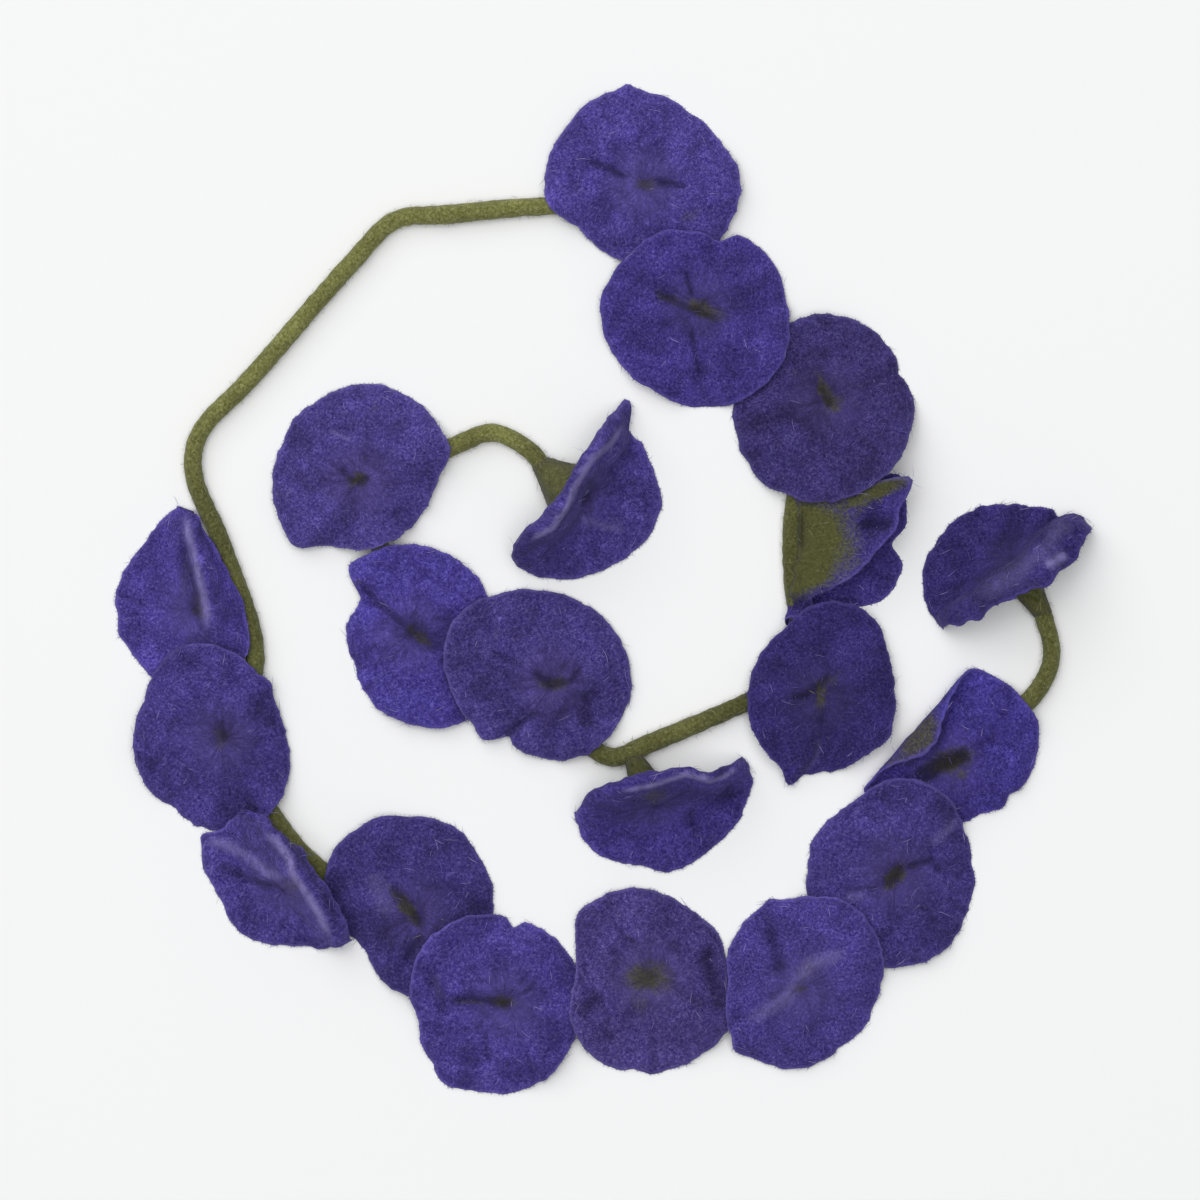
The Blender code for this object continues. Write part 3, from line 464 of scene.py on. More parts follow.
# The wool's colours
VIOLET_DARK = (0.017, 0.010, 0.098)
VIOLET = (0.047, 0.034, 0.182)
VIOLET_LIGHT = (0.124, 0.101, 0.350)
PURPLE = (0.070, 0.056, 0.150)      # the greyer wool round a throat
CREST_HIGHLIGHT_LAVENDER = (0.260, 0.225, 0.500)    # the painted highlight on a crest
OLIVE_DARK = (0.026, 0.022, 0.022)
OLIVE = (0.120, 0.115, 0.058)
LEAF_DARK = (0.062, 0.064, 0.015)
LEAF = (0.135, 0.140, 0.042)
LEAF_LIGHT = (0.270, 0.275, 0.120)
VIOLET_TIP = (0.46, 0.42, 0.70)     # the palest of the loose fibres
LEAF_TIP = (0.5, 0.5, 0.28)
LEAF_HAIR = [(0.0, LEAF_DARK), (0.5, LEAF), (1.0, LEAF_TIP)]
VIOLET_SHEEN = (0.5, 0.42, 1.0)
LEAF_SHEEN = (0.85, 0.88, 0.6)
HAIR_SHEEN = (0.62, 0.58, 0.95)
SHEEN_ROUGHNESS = 0.6
WOOL_SPECULAR = 0.15


def name_of(flower):
    return "flower_%02d" % flower.number


def place(x, y, z=0.0):
    """A point of the top view, in millimetres of the garland."""
    return Vector(((x - CENTRE[0]) * GRID, (CENTRE[1] - y) * GRID, z))


def heading(degrees):
    angle = math.radians(degrees)
    return Vector((math.cos(angle), math.sin(angle), 0.0))


def smooth_step(low, high, value):
    t = min(max((value - low) / (high - low), 0.0), 1.0)
    return t * t * (3.0 - 2.0 * t)


def waver(x, y, z):
    """A number that wanders smoothly between -1 and 1 from place to place."""
    return noise.noise(Vector((x, y, z)))


def turn_between(a, b):
    """The smallest angle between two headings, in degrees."""
    return abs((a - b + 180.0) % 360.0 - 180.0)


def catmull(p0, p1, p2, p3, t):
    """A point of the smooth curve between p1 and p2."""
    return 0.5 * (2 * p1 + (p2 - p0) * t + (2 * p0 - 5 * p1 + 4 * p2 - p3) * t * t
                  + (3 * p1 - p0 - 3 * p2 + p3) * t * t * t)


def curve_between(p0, p1, p2, p3, share):
    """The same for points that are unevenly spaced: the centripetal curve, which doesn't overshoot."""
    t0 = 0.0
    t1 = t0 + (p1 - p0).length ** 0.5
    t2 = t1 + (p2 - p1).length ** 0.5
    t3 = t2 + (p3 - p2).length ** 0.5
    t = t1 + (t2 - t1) * share
    a1 = p0 * ((t1 - t) / (t1 - t0)) + p1 * ((t - t0) / (t1 - t0))
    a2 = p1 * ((t2 - t) / (t2 - t1)) + p2 * ((t - t1) / (t2 - t1))
    a3 = p2 * ((t3 - t) / (t3 - t2)) + p3 * ((t - t2) / (t3 - t2))
    b1 = a1 * ((t2 - t) / (t2 - t0)) + a2 * ((t - t0) / (t2 - t0))
    b2 = a2 * ((t3 - t) / (t3 - t1)) + a3 * ((t - t1) / (t3 - t1))
    return b1 * ((t2 - t) / (t2 - t1)) + b2 * ((t - t1) / (t2 - t1))


def soft_max(a, b, ease):
    """The larger of two numbers, rounded where they are nearly equal."""
    return 0.5 * (a + b + math.sqrt((a - b) ** 2 + ease * ease))


def rgba(colour):
    """A colour with its alpha; a plain number is a grey."""
    red, green, blue = colour if isinstance(colour, tuple) else (colour, colour, colour)
    return (red, green, blue, 1.0)


def link(name, points, faces, extra=None):
    """A new object from points in millimetres, with a point attribute for each entry of extra."""
    data = bpy.data.meshes.new(name)
    data.from_pydata([tuple(p * MM) for p in points], [], faces)
    for key, values in (extra or {}).items():
        vector = not isinstance(values[0], float)
        layer = data.attributes.new(key, "FLOAT_VECTOR" if vector else "FLOAT", "POINT")
        flat = [c for v in values for c in v] if vector else values
        layer.data.foreach_set("vector" if vector else "value", flat)
    data.shade_smooth()
    obj = bpy.data.objects.new(name, data)
    bpy.context.scene.collection.objects.link(obj)
    return obj


# Camera and light

def make_camera():
    camera = bpy.data.objects.new("camera", bpy.data.cameras.new("camera"))
    middle = place(*VIEW_MIDDLE)
    camera.location = (middle.x * MM, middle.y * MM, CAMERA_HEIGHT * MM)
    camera.data.angle = 2.0 * math.atan(VIEW_STEPS * GRID / 2.0 / CAMERA_HEIGHT)
    camera.data.clip_start, camera.data.clip_end = CAMERA_CLIP
    bpy.context.scene.collection.objects.link(camera)
    bpy.context.scene.camera = camera


def make_lamp(name, azimuth, elevation, away, size, share):
    """A square softbox that faces the garland, and gives this share of the floor's light. How far away
    and how large it is are in metres."""
    steep = math.radians(elevation)
    lamp = bpy.data.lights.new(name, "AREA")
    lamp.shape = "SQUARE"
    lamp.size = size
    lamp.energy = FLOOR_LIGHT * share * (math.pi * away) ** 2 / math.sin(steep)
    lamp.color = LAMP_WHITE
    obj = bpy.data.objects.new(name, lamp)
    obj.location = (heading(azimuth) * math.cos(steep) + Vector((0, 0, math.sin(steep)))) * away
    obj.rotation_euler = (-obj.location).to_track_quat("-Z", "Y").to_euler()
    bpy.context.scene.collection.objects.link(obj)


def make_light():
    world = bpy.data.worlds.new("studio")
    world.use_nodes = True
    background = world.node_tree.nodes["Background"]
    background.inputs["Color"].default_value = rgba(SKY_WHITE)
    background.inputs["Strength"].default_value = FLOOR_LIGHT * SKY_SHARE
    bpy.context.scene.world = world
    bpy.context.scene.view_settings.view_transform = "Standard"
    make_lamp("window", azimuth=128.0, elevation=50.0, away=7.0, size=7.0, share=0.32)
    make_lamp("overhead", azimuth=0.0, elevation=90.0, away=6.0, size=5.0, share=0.51)


def make_floor():
    corners = [Vector((x, y, 0)) * FLOOR_HALF for x, y in ((-1, -1), (1, -1), (1, 1), (-1, 1))]
    floor = link("floor", corners, [(0, 1, 2, 3)])
    mat = bpy.data.materials.new("floor_paper")
    mat.use_nodes = True
    shader = mat.node_tree.nodes["Principled BSDF"]
    shader.inputs["Base Color"].default_value = rgba(FLOOR_WHITE)
    shader.inputs["Roughness"].default_value = 0.9
    shader.inputs["Specular IOR Level"].default_value = 0.1
    floor.data.materials.append(mat)
    floor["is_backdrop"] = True


# The vine

def vine_line():
    """Points of the vine's middle line, VINE_STEP apart, with their distances along it."""
    knots = [place(x, y, VINE_RADIUS + VINE_REST) for x, y in VINE_ROUTE]
    knots = [2 * knots[0] - knots[1]] + knots + [2 * knots[-1] - knots[-2]]
    fine = []
    for i in range(1, len(knots) - 2):
        for step in range(KNOT_STEPS):
            fine.append(curve_between(*knots[i - 1:i + 3], step / KNOT_STEPS))
    fine.append(knots[-2])
    walked = [0.0]
    for a, b in zip(fine, fine[1:]):
        walked.append(walked[-1] + (b - a).length)
    count = round(walked[-1] / VINE_STEP)
    line = []
    at = 0
    for k in range(count + 1):
        want = walked[-1] * k / count
        while at < len(fine) - 2 and walked[at + 1] < want:
            at += 1
        share = min((want - walked[at]) / (walked[at + 1] - walked[at]), 1.0)
        line.append((fine[at].lerp(fine[at + 1], share), want))
    return line


def vine_swell(distance):
    """How much thicker or thinner the vine is, at this distance along it."""
    return 1.0 + VINE_UNEVEN * waver(distance / 34.0, 3.7, 1.1)


# the wool's own tone with painted light and shade, at this distance along the vine
def vine_tone_and_shade(distance):
    for (low, before), (high, after) in zip(VINE_TONE_AND_SHADE, VINE_TONE_AND_SHADE[1:]):
        if distance <= high:
            return before + (after - before) * (distance - low) / (high - low)
    return VINE_TONE_AND_SHADE[-1][1]


def make_vine(line):
    """The cord as a tube with lumpy felt."""
    points = []
    flats = []
    tones_and_shade = []
    last = len(line) - 1
    for k, (middle, walked) in enumerate(line):
        ahead = line[min(k + 1, last)][0] - line[max(k - 1, 0)][0]
        side = Vector((ahead.y, -ahead.x, 0.0)).normalized()
        swell = vine_swell(walked)
        for s in range(VINE_SIDES):
            turn = 2 * math.pi * s / VINE_SIDES
            ray = side * math.cos(turn) + Vector((0, 0, 1)) * math.sin(turn)
            spot = Vector((walked / 3.6, math.cos(turn) * 1.3, math.sin(turn) * 1.3))
            lump = VINE_LUMPS * noise.noise(spot) + VINE_LUMPS * 0.6 * noise.noise(spot * 2.7)
            radius = VINE_RADIUS * swell + lump
            lift = VINE_RADIUS * (swell - 1.0)
            point = middle + ray * radius + Vector((0, 0, lift))
            points.append(Vector((point.x, point.y, max(point.z, CORD_CLEAR))))
            flats.append((walked, math.cos(turn) * VINE_RADIUS, math.sin(turn) * VINE_RADIUS))
            # painted light and shade along the cord, with its wool's own tone
            tones_and_shade.append(vine_tone_and_shade(walked))
    faces = []
    for k in range(last):
        for s in range(VINE_SIDES):
            a = k * VINE_SIDES + s
            b = k * VINE_SIDES + (s + 1) % VINE_SIDES
            faces.append((a, a + VINE_SIDES, b + VINE_SIDES, b))
    faces.append(tuple(range(VINE_SIDES)))
    faces.append(tuple(last * VINE_SIDES + s for s in reversed(range(VINE_SIDES))))
    return link("vine_cord", points, faces, {"flat": flats, "shade": tones_and_shade})


# What lies under a petal

def blank_map():
    return np.full((2 * MAP_HALF + 1, 2 * MAP_HALF + 1), MAP_FLOOR)


def press(ground, points):
    """Notes the heights of points in the map, each also in the cells round its own."""
    xs = np.rint([p.x for p in points]).astype(int) + MAP_HALF
    ys = np.rint([p.y for p in points]).astype(int) + MAP_HALF
    zs = np.array([p.z for p in points])
    for dx in (-1, 0, 1):
        for dy in (-1, 0, 1):
            np.maximum.at(ground, (xs + dx, ys + dy), zs)


def tent(ground, slope):
    """The height of a cloth laid over the map: it falls away from what carries it no faster than slope."""
    cloth = ground.copy()
    around = [(1, 0), (-1, 0), (0, 1), (0, -1), (1, 1), (1, -1), (-1, 1), (-1, -1)]
    for _ in range(TENT_STEPS):
        for dx, dy in around:
            fall = slope * math.hypot(dx, dy)
            cloth = np.maximum(cloth, np.roll(cloth, (dx, dy), (0, 1)) - fall)
    for _ in range(TENT_SOFTEN):
        cloth = (cloth + sum(np.roll(cloth, way, (0, 1)) for way in around[:4])) / 5.0
    return np.maximum(cloth, ground) + LAY


def height_at(cloth, x, y):
    """The map's height at a place, between its cells."""
    u = x + MAP_HALF
    v = y + MAP_HALF
    i = int(u)
    j = int(v)
    s = u - i
    t = v - j
    low = cloth[i, j] * (1 - s) + cloth[i + 1, j] * s
    high = cloth[i, j + 1] * (1 - s) + cloth[i + 1, j + 1] * s
    return float(low * (1 - t) + high * t)


# A flower's felt

def rim_radius(flower, local):
    """The felt's radius at an angle from the flower's own out heading."""
    hour = (local % 360.0) / 30.0
    k = int(hour)
    hours = [flower.rim[(k + i) % 12] for i in (-1, 0, 1, 2)]
    radius = catmull(*hours, hour - k)
    for at, reach, half in NIPS.get(flower.number, ()):
        away = turn_between(local, at) / half
        radius += reach * math.exp(-away * away)
    way = heading(local) * 4.0
    lumps = RIM_LUMPS * waver(way.x * 2.6, way.y * 2.6, flower.y)
    lumps += RIM_LUMPS * 0.5 * waver(way.x * 5.7, way.y * 5.7, flower.y)
    return radius - RIM_SHY + RIM_UNEVEN * waver(way.x, way.y, flower.x) + lumps


def between(table, value):
    """Reads a table of (place, amount) at a place between its entries."""
    if value <= table[0][0]:
        return table[0][1]
    for (low, before), (high, after) in zip(table, table[1:]):
        if value <= high:
            return before + (after - before) * smooth_step(low, high, value)
    return table[-1][1]


def ruffle(flower, along, share):
    """How far the free rim of a standing half curls and waves here."""
    if flower.number not in RUFFLES:
        return 0.0
    curled, high = RUFFLES[flower.number]
    wave = high * waver(along / 5.0, flower.y, 0.0)
    wave += 0.5 * high * waver(along / 2.6, flower.x, 0.0)
    return (curled + wave) * smooth_step(0.78, 1.0, share)


def flap_course(flap, fold, along, past, edge):
    """Where a standing half is at this length of felt past its fold: forward, height, and its slope."""
    total = max(fold + math.sqrt(max(edge ** 2 - along ** 2, 1.0)), past, 1.0)
    lower = flap.share * total
    upper = total - lower
    crest = between(flap.crest, along) - FELT - CREST_INSET
    rim = between(flap.rim, along) + RIM_INSET
    flat = min(max(crest - rim, 0.0), FLAT_SHARE * upper)
    back = max(min(fold - rim - flat, FLAT_SHARE * lower), -FLAT_SHARE * lower)
    height = math.sqrt(lower ** 2 - back ** 2)
    rise = max(flap.way * math.sqrt(upper ** 2 - flat ** 2), LEAST_RIM - height)

    def at(s):
        if s <= 0.0:
            return fold - s, 0.0
        if s <= lower:
            return fold - back * s / lower, height * s / lower
        return fold - back - flat * (s - lower) / upper, height + rise * (s - lower) / upper

    def soft(s):
        bend = FOLD_BEND + (CREST_BEND - FOLD_BEND) * smooth_step(0.25, 0.75, s / lower)
        spots = [at(s + bend * k / 3) for k in range(-3, 4)]
        return sum(spot[0] for spot in spots) / 7, sum(spot[1] for spot in spots) / 7

    ahead, above = soft(past)
    before, beneath = soft(past - SLOPE_STEP)
    after, over = soft(past + SLOPE_STEP)
    return ahead, above, math.atan2(over - beneath, before - after)


def fold_course(flower, along, beyond):
    """The same for a half that is simply bent up: how far it goes back, its height, and its slope."""
    share = smooth_step(-FLAP_HALF, FLAP_HALF, along)
    full = math.radians(flower.right + (flower.left - flower.right) * share)
    arc = flower.turn * full
    phi = min(beyond, arc) / flower.turn
    rest = max(0.0, beyond - arc)
    back = flower.turn * math.sin(phi) + rest * math.cos(full)
    return back, flower.turn * (1 - math.cos(phi)) + rest * math.sin(full), phi


def fold_place(flower):
    """How far behind the throat a half begins to turn up."""
    return -FLAPS[flower.number].fold if flower.number in FLAPS else flower.fold


def drawn_over(flower, point):
    """Draws a folded half back over the cord."""
    draw = DRAWS.get(flower.number)
    if draw:
        row = CENTRE[1] - point.y / GRID
        amount = draw.before + (draw.after - draw.before) * smooth_step(draw.above, draw.below, row)
        beyond = point.x - place(draw.edge, 0).x
        point.x -= amount * (1 - smooth_step(0.0, draw.reach, beyond))
    return point


def rim_rise(flower, local):
    """How high the free rim stands off the floor: slow waves, their own for each flower."""
    if flower.crown == 0:
        return 0.0
    seed = flower.x * 0.37 + flower.y * 0.61
    angle = math.radians(local)
    wave = sum(high * math.cos(count * angle + turn * seed) for count, high, turn in RIM_WAVES)
    return max(0.0, RIM_RISE + wave)


def fold_height(flower, local, radius):
    """What the flower's folds add to its height at this place."""
    total = 0.0
    for at, start, end, half, height in FOLDS.get(flower.number, ()):
        turn = math.radians(local - at)
        along = radius * math.cos(turn)
        across = radius * math.sin(turn)
        if along > 0.0:
            ends = smooth_step(start - 4, start + 2, along) * (1 - smooth_step(end - 4, end + 5, along))
            total += height * ends * math.exp(-(across / half) ** 2)
    return total


def felt_point(flower, local, radius, edge):
    """The felt's underside at a place of the flat flower, and the way its face looks there."""
    out = heading(flower.out)
    side = heading(flower.out + 90)
    angle = math.radians(local)
    along = radius * math.sin(angle)
    forward = radius * math.cos(angle)
    beyond = max(0.0, -(forward + fold_place(flower))) if flower.left else 0.0
    lying = math.hypot(along, forward + beyond)
    droop = min(lying / edge, 1.0) ** DROOP
    height = flower.crown * (1 - droop) + rim_rise(flower, local) * droop
    if flower.left:
        height *= smooth_step(-flower.fold, 2, forward)
    if flower.number in FLAPS:
        flap = FLAPS[flower.number]
        fold = flap.fold - TIP_DRAW.get(flower.number, 0.0) * smooth_step(*TIP_STRETCH, along)
        forward, up, phi = flap_course(flap, fold, along, fold - forward, edge)
    else:
        back, up, phi = fold_course(flower, along, beyond)
        forward += beyond - back
    height += up
    face = out * math.sin(phi) + Vector((0, 0, math.cos(phi)))
    point = place(flower.x, flower.y) + out * forward + side * along + Vector((0, 0, height))
    point += face * ruffle(flower, along, radius / edge)
    raised = fold_height(flower, local, radius)
    spot = Vector((along / WRINKLE_SIZE, radius * math.cos(angle) / WRINKLE_SIZE, flower.x))
    raised += WRINKLE * noise.noise(spot) + WRINKLE * 0.45 * noise.noise(spot * 2.3)
    on_floor = flower.crown == 0 and beyond == 0
    point += face * (max(0.0, raised) if on_floor else raised)
    return drawn_over(flower, point), face


def lay_over(flower, point, face, cloth):
    """Raises a point so that it clears what lies under it."""
    folded = flower.left > FOLDED_OVER
    if folded and flower.crown == 0:
        above = height_at(cloth, point.x, point.y) - LAY + FELT + FOLD_AIR
        lift = max(0.0, above - point.z) * smooth_step(0.1, 0.8, -face.z)
        return Vector((point.x, point.y, point.z + lift))
    if face.z < (LAYS_FOLDED if folded else LAYS):
        return point
    over = soft_max(point.z, height_at(cloth, point.x, point.y), EASE)
    return Vector((point.x, point.y, over))


def laid_point(flower, local, radius, edge, cloth):
    """The felt's underside where it lies, the way its face looks, and the creases pressed in from the face:
    how deep they are, and how much of that the underside can't follow.

    A turned-up half rides on its foot.
    """
    under, look = felt_point(flower, local, radius, edge)
    along = radius * math.sin(math.radians(local))
    forward = radius * math.cos(math.radians(local))
    fold = fold_place(flower)
    rise = None
    if flower.left and forward < -fold:
        foot_local = math.degrees(math.atan2(along, -fold))
        foot, foot_look = felt_point(flower, foot_local, math.hypot(along, fold), edge)
        rise = lay_over(flower, foot, foot_look, cloth).z - foot.z

    def settled(spot):
        laid = lay_over(flower, spot, look, cloth)
        if rise is not None:
            laid = Vector((laid.x, laid.y, max(laid.z, spot.z + rise)))
        return laid

    laid = settled(under)
    if look.z < BACK_SEEN:
        behind = stroke_amount(BACK_CREASES_AND_SHADE, flower, under)
        return laid + look * behind, look, behind, 0.0
    pressed = stroke_amount(CREASES_AND_SHADE, flower, under)
    if pressed == 0.0:
        return laid, look, 0.0, 0.0
    moved = settled(under - look * pressed)
    return moved, look, pressed, max(0.0, pressed - (moved - laid).length)


def from_path(point, path):
    """How far a point is from a line of the top view, in millimetres, and how far along it, from 0 to 1."""
    corners = [((x - CENTRE[0]) * GRID, (CENTRE[1] - y) * GRID) for x, y in path]
    lengths = [math.dist(a, b) for a, b in zip(corners, corners[1:])]
    best = (1e9, 0.0)
    walked = 0.0
    for a, b, length in zip(corners, corners[1:], lengths):
        t = ((point.x - a[0]) * (b[0] - a[0]) + (point.y - a[1]) * (b[1] - a[1])) / length ** 2
        t = min(max(t, 0.0), 1.0)
        away = math.hypot(point.x - a[0] - t * (b[0] - a[0]), point.y - a[1] - t * (b[1] - a[1]))
        best = min(best, (away, (walked + t * length) / sum(lengths)))
        walked += length
    return best


def stroke_amount(table, flower, point):
    """What a table's strokes add up to here."""
    total = 0.0
    for half, depth, *path in table.get(flower.number, ()):
        away, t = from_path(point, path)
        if away < 3 * half:
            fade = smooth_step(0.0, 0.18, t) * (1 - smooth_step(0.82, 1.0, t))
            total += depth * fade * math.exp(-(away / half) ** 2)
    return total


def patch_amount(table, flower, point):
    """How much of a table's patches shows here, from 0 to 1."""
    shown = 0.0
    for x, y, long, wide, turn, amount in table.get(flower.number, ()):
        from_middle = Vector((point.x, point.y, 0.0)) - place(x, y)
        ragged = noise.noise_vector(Vector((point.x / 3.5, point.y / 3.5, flower.x))) * PATCH_RAGGED
        from_middle += Vector((ragged.x, ragged.y, 0.0))
        way = heading(turn)
        u = from_middle.dot(way) / (long * GRID)
        v = (from_middle.y * way.x - from_middle.x * way.y) / (wide * GRID)
        shown = max(shown, amount * (1 - smooth_step(0.2, 1.6, math.hypot(u, v))))
    return shown


def pleat_depth(flower, local, radius):
    """How deep the small creases that run out from the throat are here, and the ridges between them."""
    way = heading(local + PLEAT_BEND * waver(radius / 10.0, flower.x, flower.y))
    spot = Vector((way.x * 2.1, way.y * 2.1, radius / 34.0 + flower.x))
    valley = math.exp(-(noise.noise(spot) / PLEAT_WIDTH) ** 2)
    strong = smooth_step(-0.25, 0.35, waver(way.x * 1.3, way.y * 1.3, radius / 40.0 + flower.y))
    fade = smooth_step(1.5, 7.0, radius) * (1 - 0.8 * smooth_step(13.0, 33.0, radius))
    ridge = waver(way.x * 6.5, way.y * 6.5, radius / 22.0 + flower.y)
    flat = heading(local) * radius
    course = waver(flat.x / 15.0, flat.y / 15.0, flower.x + 9.0) / FURROW_WIDTH
    shown = smooth_step(-0.1, 0.4, waver(flat.x / 12.0, flat.y / 12.0, flower.y + 5.0))
    furrow = FURROW * math.exp(-course * course) * shown * smooth_step(4.0, 10.0, radius)
    return max(PLEAT * valley * strong * fade, furrow), STREAK * ridge * smooth_step(2.0, 9.0, radius)


def spoke_place(forward, along, seed):
    """Where the wool's streaks are read: close together round the throat's axis, long away from it."""
    radius = math.hypot(forward, along) + 0.001
    return (forward / radius * SPOKE_FINE, along / radius * SPOKE_FINE, radius / SPOKE_LONG + seed)


def nearness(radius):
    """How much of the wool's streaks shows: most at the throat."""
    return 0.5 - 0.42 * smooth_step(6.0, 24.0, radius)


class Skin:
    """The points of a flower's felt while it is built, with what its wool needs to know at each."""

    def __init__(self, flower):
        self.flower = flower
        self.points = []
        self.faces = []
        self.extra = {key: [] for key in ("flat", "spokes", "near") + WOOL_VALUES}

    def ring(self, points, flats, **values):
        """Adds a ring of points; a value is one for all or a list with one for each."""
        start = len(self.points)
        self.points.extend(points)
        self.extra["flat"].extend(flats)
        self.extra["spokes"].extend(spoke_place(*flat) for flat in flats)
        self.extra["near"].extend(nearness(math.hypot(*flat[:2])) for flat in flats)
        for key in WOOL_VALUES:
            value = values.get(key, 0.0)
            self.extra[key].extend(value if isinstance(value, list) else [float(value)] * len(points))
        return start

    def band(self, inner, outer):
        """Faces between two rings."""
        for k in range(SPOKES):
            after = (k + 1) % SPOKES
            self.faces.append((inner + k, outer + k, outer + after, inner + after))


def face_and_back(skin, cloth):
    """Builds the face from the throat to the rim and the back from the rim to the calyx."""
    flower = skin.flower
    tilt = 0.0 if flower.crown else math.radians(min(flower.left, 90) * TILT_SHARE)
    axis = heading(flower.out) * math.sin(tilt) + Vector((0, 0, math.cos(tilt)))
    vine_top = VINE_REST + 2 * VINE_RADIUS * (1 + VINE_UNEVEN)
    lowest = vine_top + FELT_RIM if flower.crown > OVER_VINE else FELT_RIM
    spokes = [(math.radians(local), local, rim_radius(flower, local))
              for local in (360.0 * k / SPOKES for k in range(SPOKES))]

    def face_ring(share):
        points, flats, patch, crease, pale = [], [], [], [], []
        for angle, local, edge in spokes:
            far = share * edge
            under, look, pressed, left = laid_point(flower, local, far, edge, cloth)
            felt = FELT + (FELT_RIM - FELT) * share ** 2
            felt *= 1 - THIN_EDGE * smooth_step(THIN_FROM, 1.0, share)
            core = math.exp(-(far / THROAT_CORE) ** 2)
            sunk = flower.pit * math.exp(-(far / PIT_RADIUS) ** 2)
            sunk *= FLAP_PIT if flower.number in FLAPS else 1.0
            pleat, ridge = pleat_depth(flower, local, far)
            front = under + look * (felt + ridge - pleat - min(left, DENT_SHARE * felt)) - axis * sunk
            if look.z > FACE_UP:
                front.z = max(front.z, min(lowest, under.z + FELT_RIM * LEAST_FELT))
            front.z = max(front.z, FACE_CLEAR)
            seen = look.z > BACK_SEEN
            # painted shade: darker in small creases, pressed creases and the throat's middle
            crease.append(max(pleat / PLEAT_DARK, pressed / CREASE_DARK if seen else 0.0) + core * THROAT_SHADE)
            patch.append(patch_amount(PATCHES, flower, front) if seen else 0.0)
            # painted highlight on crests and ridges
            pale.append(stroke_amount(CREST_HIGHLIGHTS, flower, front) if seen else 0.0)
            points.append(front)
            flats.append((far * math.cos(angle), far * math.sin(angle), flower.x))
        # a painted highlight on the rim
        rim_highlight = smooth_step(EDGE_FROM, 1.0, share)
        return skin.ring(points, flats, patch=patch, edge=rim_highlight, crease=crease, pale=pale)

    def back_ring(share):
        points, flats, patch, green, crease, pale = [], [], [], [], [], []
        for angle, local, edge in spokes:
            far = edge + (flower.calyx - edge) * share
            under, look, pressed, _ = laid_point(flower, local, far, edge, cloth)
            seen = look.z < BACK_SEEN
            leaf = patch_amount(LEAVES, flower, under)
            green.append(max(leaf, 1 - smooth_step(*GREEN_TO, far)))
            # painted shade in the creases of a back that shows
            crease.append(max(pressed, 0.0) / PLEAT_DARK if seen else 0.0)
            patch.append(patch_amount(BACK_PATCHES, flower, under) if seen else 0.0)
            # painted highlight on the crests of a back that shows
            pale.append(stroke_amount(CREST_HIGHLIGHTS, flower, under) if seen else 0.0)
            points.append(Vector((under.x, under.y, max(under.z, BACK_CLEAR))))
            flats.append((far * math.cos(angle), far * math.sin(angle), flower.x + BACK_SEED))
        # a painted highlight on the rim's back edge
        rim_highlight = 1.0 if share == 0 else 0.0
        return skin.ring(points, flats, patch=patch, green=green, edge=rim_highlight, crease=crease, pale=pale)

    def rim_ring(face_start, back_start):
        points = []
        for k in range(SPOKES):
            front = skin.points[face_start + k]
            behind = skin.points[back_start + k]
            outward = (front - skin.points[face_start - SPOKES + k]).normalized()
            point = (front + behind) / 2 + outward * RIM_ROUND
            point.z = max(point.z, FACE_CLEAR)
            points.append(point)
        # the rounded rim gets the full painted highlight
        return skin.ring(points, skin.extra["flat"][face_start:face_start + SPOKES], edge=1.0)

    rings = [face_ring(((k + 1) / FACE_RINGS) ** RING_SPREAD) for k in range(FACE_RINGS)]
    back = [back_ring(k / BACK_RINGS) for k in range(BACK_RINGS + 1)]
    rim = rim_ring(rings[-1], back[0])
    skin.faces.append(tuple(rings[0] + k for k in range(SPOKES)))
    for start, after in zip(rings, rings[1:] + [rim]):
        skin.band(start, after)
    for start, after in zip([rim] + back, back):
        skin.band(start, after)
    return back[-1]


def nearest_on(line, point):
    """The place of the vine's middle line that is nearest in the top view."""
    flat = Vector((point.x, point.y))
    return min((spot for spot, _ in line), key=lambda spot: (Vector((spot.x, spot.y)) - flat).length)


def stem_end(flower, line, middle):
    """Where the calyx ends in the vine: its middle and the way it looks."""
    if flower.number in CORD_ENDS:
        end, further = (line[k][0] for k in CORD_ENDS[flower.number])
        way = (end - further).normalized()
        return end - way * END_SINK, -way
    target = middle if flower.end is None else place(*flower.end)
    spot = nearest_on(line, target)
    way = (spot - middle).normalized()
    return spot - way * (VINE_RADIUS - SINK), way


def add_calyx(skin, line, root):
    """The calyx from the flower's back to the stem end, and the cap that closes it."""
    flower = skin.flower
    ring = skin.points[root:root + SPOKES]
    middle = sum(ring, Vector()) / SPOKES
    end, way = stem_end(flower, line, middle)
    out = heading(flower.out)
    before = root
    for step in range(1, CALYX_RINGS + 1):
        share = step / CALYX_RINGS
        shrink = share ** flower.taper
        centre = middle.lerp(end, share)
        points, flats = [], []
        for k, point in enumerate(ring):
            spoke = point - middle
            flat = (spoke - way * spoke.dot(way)).normalized() * STEM_RADIUS
            spot = centre + spoke * (1 - shrink) + flat * shrink
            if flower.number in FLAPS:
                ahead = (spot - place(flower.x, flower.y)).dot(out) - FLAPS[flower.number].fold + BEHIND_FLAP
                spot -= out * max(0.0, ahead)
            points.append(Vector((spot.x, spot.y, max(spot.z, BACK_CLEAR))))
            flats.append((360.0 * k / SPOKES / CALYX_TURN, share * CALYX_LONG, flower.x + CALYX_SEED))
        now = skin.ring(points, flats, green=1.0)
        skin.band(before, now)
        before = now
    skin.faces.append(tuple(before + k for k in reversed(range(SPOKES))))


